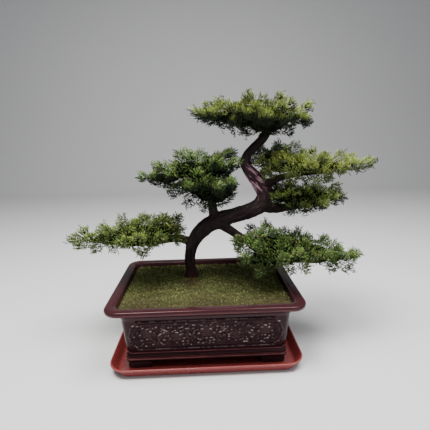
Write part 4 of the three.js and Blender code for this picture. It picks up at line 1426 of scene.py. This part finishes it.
def keep_main_body(mesh):
    """Drops the small loose bodies of a mesh."""
    pairs = np.empty(len(mesh.edges) * 2, dtype=int)
    mesh.edges.foreach_get("vertices", pairs)
    a, b = pairs.reshape(-1, 2).T
    label = np.arange(len(mesh.vertices))
    while True:
        lower = label.copy()
        np.minimum.at(lower, a, label[b])
        np.minimum.at(lower, b, label[a])
        lower = lower[lower]
        if (lower == label).all():
            break
        label = lower
    main_body = np.bincount(label).argmax()
    bm = bmesh.new()
    bm.from_mesh(mesh)
    bm.verts.ensure_lookup_table()
    loose = [bm.verts[i] for i in np.nonzero(label != main_body)[0]]
    bmesh.ops.delete(bm, geom=loose, context="VERTS")
    bm.to_mesh(mesh)
    bm.free()


def shape_clumps(bed, settings, stem):
    """Raises clumps on the bed, and marks how high on a clump, how far up and how near the stem
    each point lies.
    """
    mesh = bed.data
    points, normals = vertex_array(mesh), normal_array(mesh)
    cells = [noise.voronoi(Vector(p) / settings.clump)[0][0] for p in points]
    raised = 1 - 1.35 * np.array(cells)
    low, high = points.min(0), points.max(0)
    away = (points - (low + high) / 2)[:, :2] / ((high - low)[:2] / 2)
    rim = np.clip(np.linalg.norm(away, axis=1), 0, 1)
    cell = np.floor((points[:, :2] - low[:2]) / BED["cell"]).astype(int) + 1
    floor, roof = np.full(cell.max(0) + 2, 9.0), np.full(cell.max(0) + 2, -9.0)
    for dx in (-1, 0, 1):
        for dy in (-1, 0, 1):
            np.minimum.at(floor, (cell[:, 0] + dx, cell[:, 1] + dy), points[:, 2])
            np.maximum.at(roof, (cell[:, 0] + dx, cell[:, 1] + dy), points[:, 2])
    bottom, top = floor[cell[:, 0], cell[:, 1]], roof[cell[:, 0], cell[:, 1]]
    far = np.array([stem.find(p)[2] for p in points])
    set_vertices(mesh, points + normals * ((raised - 0.55) * settings.clump_height)[:, None])
    # level, old, relief and facing_up feed the needles' painted shade
    float_attributes(
        mesh,
        level=(points[:, 2] - bottom) / np.maximum(top - bottom, BED["thinnest"]),
        old=bell(far, 0, OLD_AND_SHADED_REACH),
        relief=np.clip(raised, 0, 1),
        facing_up=normals[:, 2],
        density=np.clip(0.95 + 0.4 * normals[:, 2], 0.5, 1.0),
        reach=0.85 + 0.4 * rim ** 2,
    )


def join_meshes(name, parts):
    bm = bmesh.new()
    materials = []
    for part in parts:
        offset = len(materials)
        materials += list(part.data.materials)
        before = len(bm.faces)
        bm.from_mesh(part.data)
        bm.faces.ensure_lookup_table()
        for face in bm.faces[before:]:
            face.material_index += offset
    mesh = bpy.data.meshes.new(name)
    bm.to_mesh(mesh)
    bm.free()
    for material in materials:
        mesh.materials.append(material)
    for part in parts:
        remove(part)
    return scene_object(name, mesh)


def pad_heart(guide, name, material):
    made = swollen(guide, name, HEART["outwards"], HEART["voxel"], HEART["rounds"])
    roughen(made.data, HEART["roughness"], HEART["cell"])
    dress(made, material)
    return made


def build_pads(settings):
    tree = scatter_tree("Shoots over a pad", False)
    collection = shoot_units(settings)
    heart = heart_material()
    stem = search_tree(spline_points(TRUNK, LINE_STEPS)[:, :3] * MM)
    for node, (slot, youth, painted_light, shade_below, seed) in PADS.items():
        name = node.replace("pad_", "foliage_")
        guide = merged_copy(NODES[node], "guide")
        inside = pad_heart(guide, name + "_heart", heart)
        bed = swollen(guide, name, settings.fullness, BED["voxel"], BED["rounds"])
        remove(guide)
        keep_main_body(bed.data)
        shape_clumps(bed, settings, stem)
        points = vertex_array(bed.data)
        centre = (points.min(0) + points.max(0)) / 2 - [0, 0, PAD_ROOT_DROP]
        needles = foliage_material(f"Needles {name}", settings, youth, painted_light, shade_below)
        scatter(bed, tree, {
            "Units": collection, "Spacing": settings.spacing, "Centre": tuple(map(float, centre)),
            "Sunk": settings.shoot * 0.6, "Seed": seed, "Material": needles, **PAD_STANCE,
        })
        finish_piece(join_meshes(name, [bed, inside]), slot, node)
    drop_collection(collection)


# Stage


def floor_sweep(settings):
    steps, radius, back = SWEEP["steps"], SWEEP["radius"], SWEEP["back"]
    turns = [i / steps * math.pi / 2 for i in range(1, steps + 1)]
    section = [(SWEEP["front"], 0.0), (back, 0.0)]
    section += [(back + radius * math.sin(a), radius - radius * math.cos(a)) for a in turns]
    section.append((back + radius, SWEEP["height"]))
    vertices = [(x, y, z) for y, z in section for x in (-SWEEP["half_width"], SWEEP["half_width"])]
    faces = [(2 * i, 2 * i + 1, 2 * i + 3, 2 * i + 2) for i in range(len(section) - 1)]
    floor = mesh_object("floor_sweep", vertices, faces)
    smooth_shading(floor.data)
    dress(floor, stage_material(settings))


def build_stage(settings):
    """A pale sweep of floor, soft lights, and the camera."""
    floor_sweep(settings)
    powers = {"key": settings.key, "fill": settings.fill, "top": settings.key * TOP_SHARE}
    for name, power in powers.items():
        area_light(name, power, *LIGHTS[name])

    world = bpy.data.worlds.new("Studio")
    world.use_nodes = True
    background = world.node_tree.nodes["Background"]
    background.inputs["Color"].default_value = SKY_COLOUR
    background.inputs["Strength"].default_value = settings.sky
    bpy.context.scene.world = world

    camera = bpy.data.cameras.new("camera")
    camera.sensor_width, camera.lens = CAMERA["sensor"], settings.lens
    camera.clip_start, camera.clip_end = 0.01, 50
    eye = scene_object("camera", camera)
    eye.matrix_world = camera_place(CAMERA["place"], *CAMERA["turn"])
    bpy.context.scene.camera = eye


def camera_place(location, pitch, yaw, roll):
    """The camera's matrix from its place, how far it looks down and to the right, and its roll."""
    a, b, c = (math.radians(v) for v in (pitch, yaw, roll))
    forward = Vector((math.sin(b) * math.cos(a), math.cos(b) * math.cos(a), -math.sin(a)))
    right = Vector((math.cos(b), -math.sin(b), 0))
    up = right.cross(forward)
    turned = right * math.cos(c) - up * math.sin(c)
    upright = right * math.sin(c) + up * math.cos(c)
    matrix = Matrix((turned, upright, -forward)).transposed().to_4x4()
    matrix.translation = Vector(location)
    return matrix


def area_light(name, power, location, target, size, colour):
    light = bpy.data.lights.new(name, "AREA")
    light.shape, light.size = "DISK", size
    light.energy, light.color = power, colour
    lamp = scene_object(name, light)
    lamp.location = location
    way = Vector(target) - Vector(location)
    lamp.rotation_euler = way.to_track_quat("-Z", "Y").to_euler()


# Operators and panel


class StageOperator(bpy.types.Operator):
    """Adds the floor, the lights and the camera"""

    bl_idname = "bonsai.stage"
    bl_label = "Stage"

    def execute(self, context):
        build_stage(context.scene.bonsai_stage)
        return {"FINISHED"}


class TrayOperator(bpy.types.Operator):
    """Builds the drip tray"""

    bl_idname = "bonsai.tray"
    bl_label = "Drip tray"

    def execute(self, context):
        build_tray(context.scene.bonsai_tray)
        return {"FINISHED"}


class PotOperator(bpy.types.Operator):
    """Builds the glazed pot with its relief"""

    bl_idname = "bonsai.pot"
    bl_label = "Glazed pot"

    def execute(self, context):
        build_pot(context.scene.bonsai_pot)
        return {"FINISHED"}


class HiddenOperator(bpy.types.Operator):
    """Dresses the soil and the drain screens"""

    bl_idname = "bonsai.soil"
    bl_label = "Soil and screens"

    def execute(self, context):
        build_hidden()
        return {"FINISHED"}


class MossOperator(bpy.types.Operator):
    """Builds the moss and its tufts"""

    bl_idname = "bonsai.moss"
    bl_label = "Moss"

    def execute(self, context):
        build_moss(context.scene.bonsai_moss)
        return {"FINISHED"}


class WoodOperator(bpy.types.Operator):
    """Builds the trunk with its branches"""

    bl_idname = "bonsai.wood"
    bl_label = "Trunk and branches"

    def execute(self, context):
        build_wood(context.scene.bonsai_wood)
        return {"FINISHED"}


class FoliageOperator(bpy.types.Operator):
    """Builds the pads of foliage"""

    bl_idname = "bonsai.foliage"
    bl_label = "Foliage"

    def execute(self, context):
        build_pads(context.scene.bonsai_foliage)
        return {"FINISHED"}


OPERATORS = (
    StageOperator, TrayOperator, PotOperator, HiddenOperator, MossOperator, WoodOperator,
    FoliageOperator,
)
SETTINGS = {
    "bonsai_stage": StageSettings,
    "bonsai_tray": TraySettings,
    "bonsai_pot": PotSettings,
    "bonsai_moss": MossSettings,
    "bonsai_wood": WoodSettings,
    "bonsai_foliage": FoliageSettings,
}


class BonsaiPanel(bpy.types.Panel):
    """Lists the pieces of the bonsai"""

    bl_idname = "VIEW3D_PT_bonsai"
    bl_label = "Potted Bonsai"
    bl_space_type = "VIEW_3D"
    bl_region_type = "UI"
    bl_category = "Bonsai"

    def draw(self, context):
        for operator in OPERATORS:
            self.layout.operator(operator.bl_idname)
        for name in SETTINGS:
            group = getattr(context.scene, name)
            box = self.layout.box()
            for key in group.__annotations__:
                box.prop(group, key)


def register():
    for group in (*SETTINGS.values(), *OPERATORS, BonsaiPanel):
        bpy.utils.register_class(group)
    for name, group in SETTINGS.items():
        setattr(bpy.types.Scene, name, PointerProperty(type=group))


def unregister():
    for name in SETTINGS:
        delattr(bpy.types.Scene, name)
    for group in reversed((*SETTINGS.values(), *OPERATORS, BonsaiPanel)):
        bpy.utils.unregister_class(group)


def main():
    register()
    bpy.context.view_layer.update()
    bpy.ops.bonsai.stage()
    bpy.ops.bonsai.tray()
    bpy.ops.bonsai.pot()
    bpy.ops.bonsai.soil()
    bpy.ops.bonsai.moss()
    bpy.ops.bonsai.wood()
    bpy.ops.bonsai.foliage()


if __name__ == "__main__":
    main()
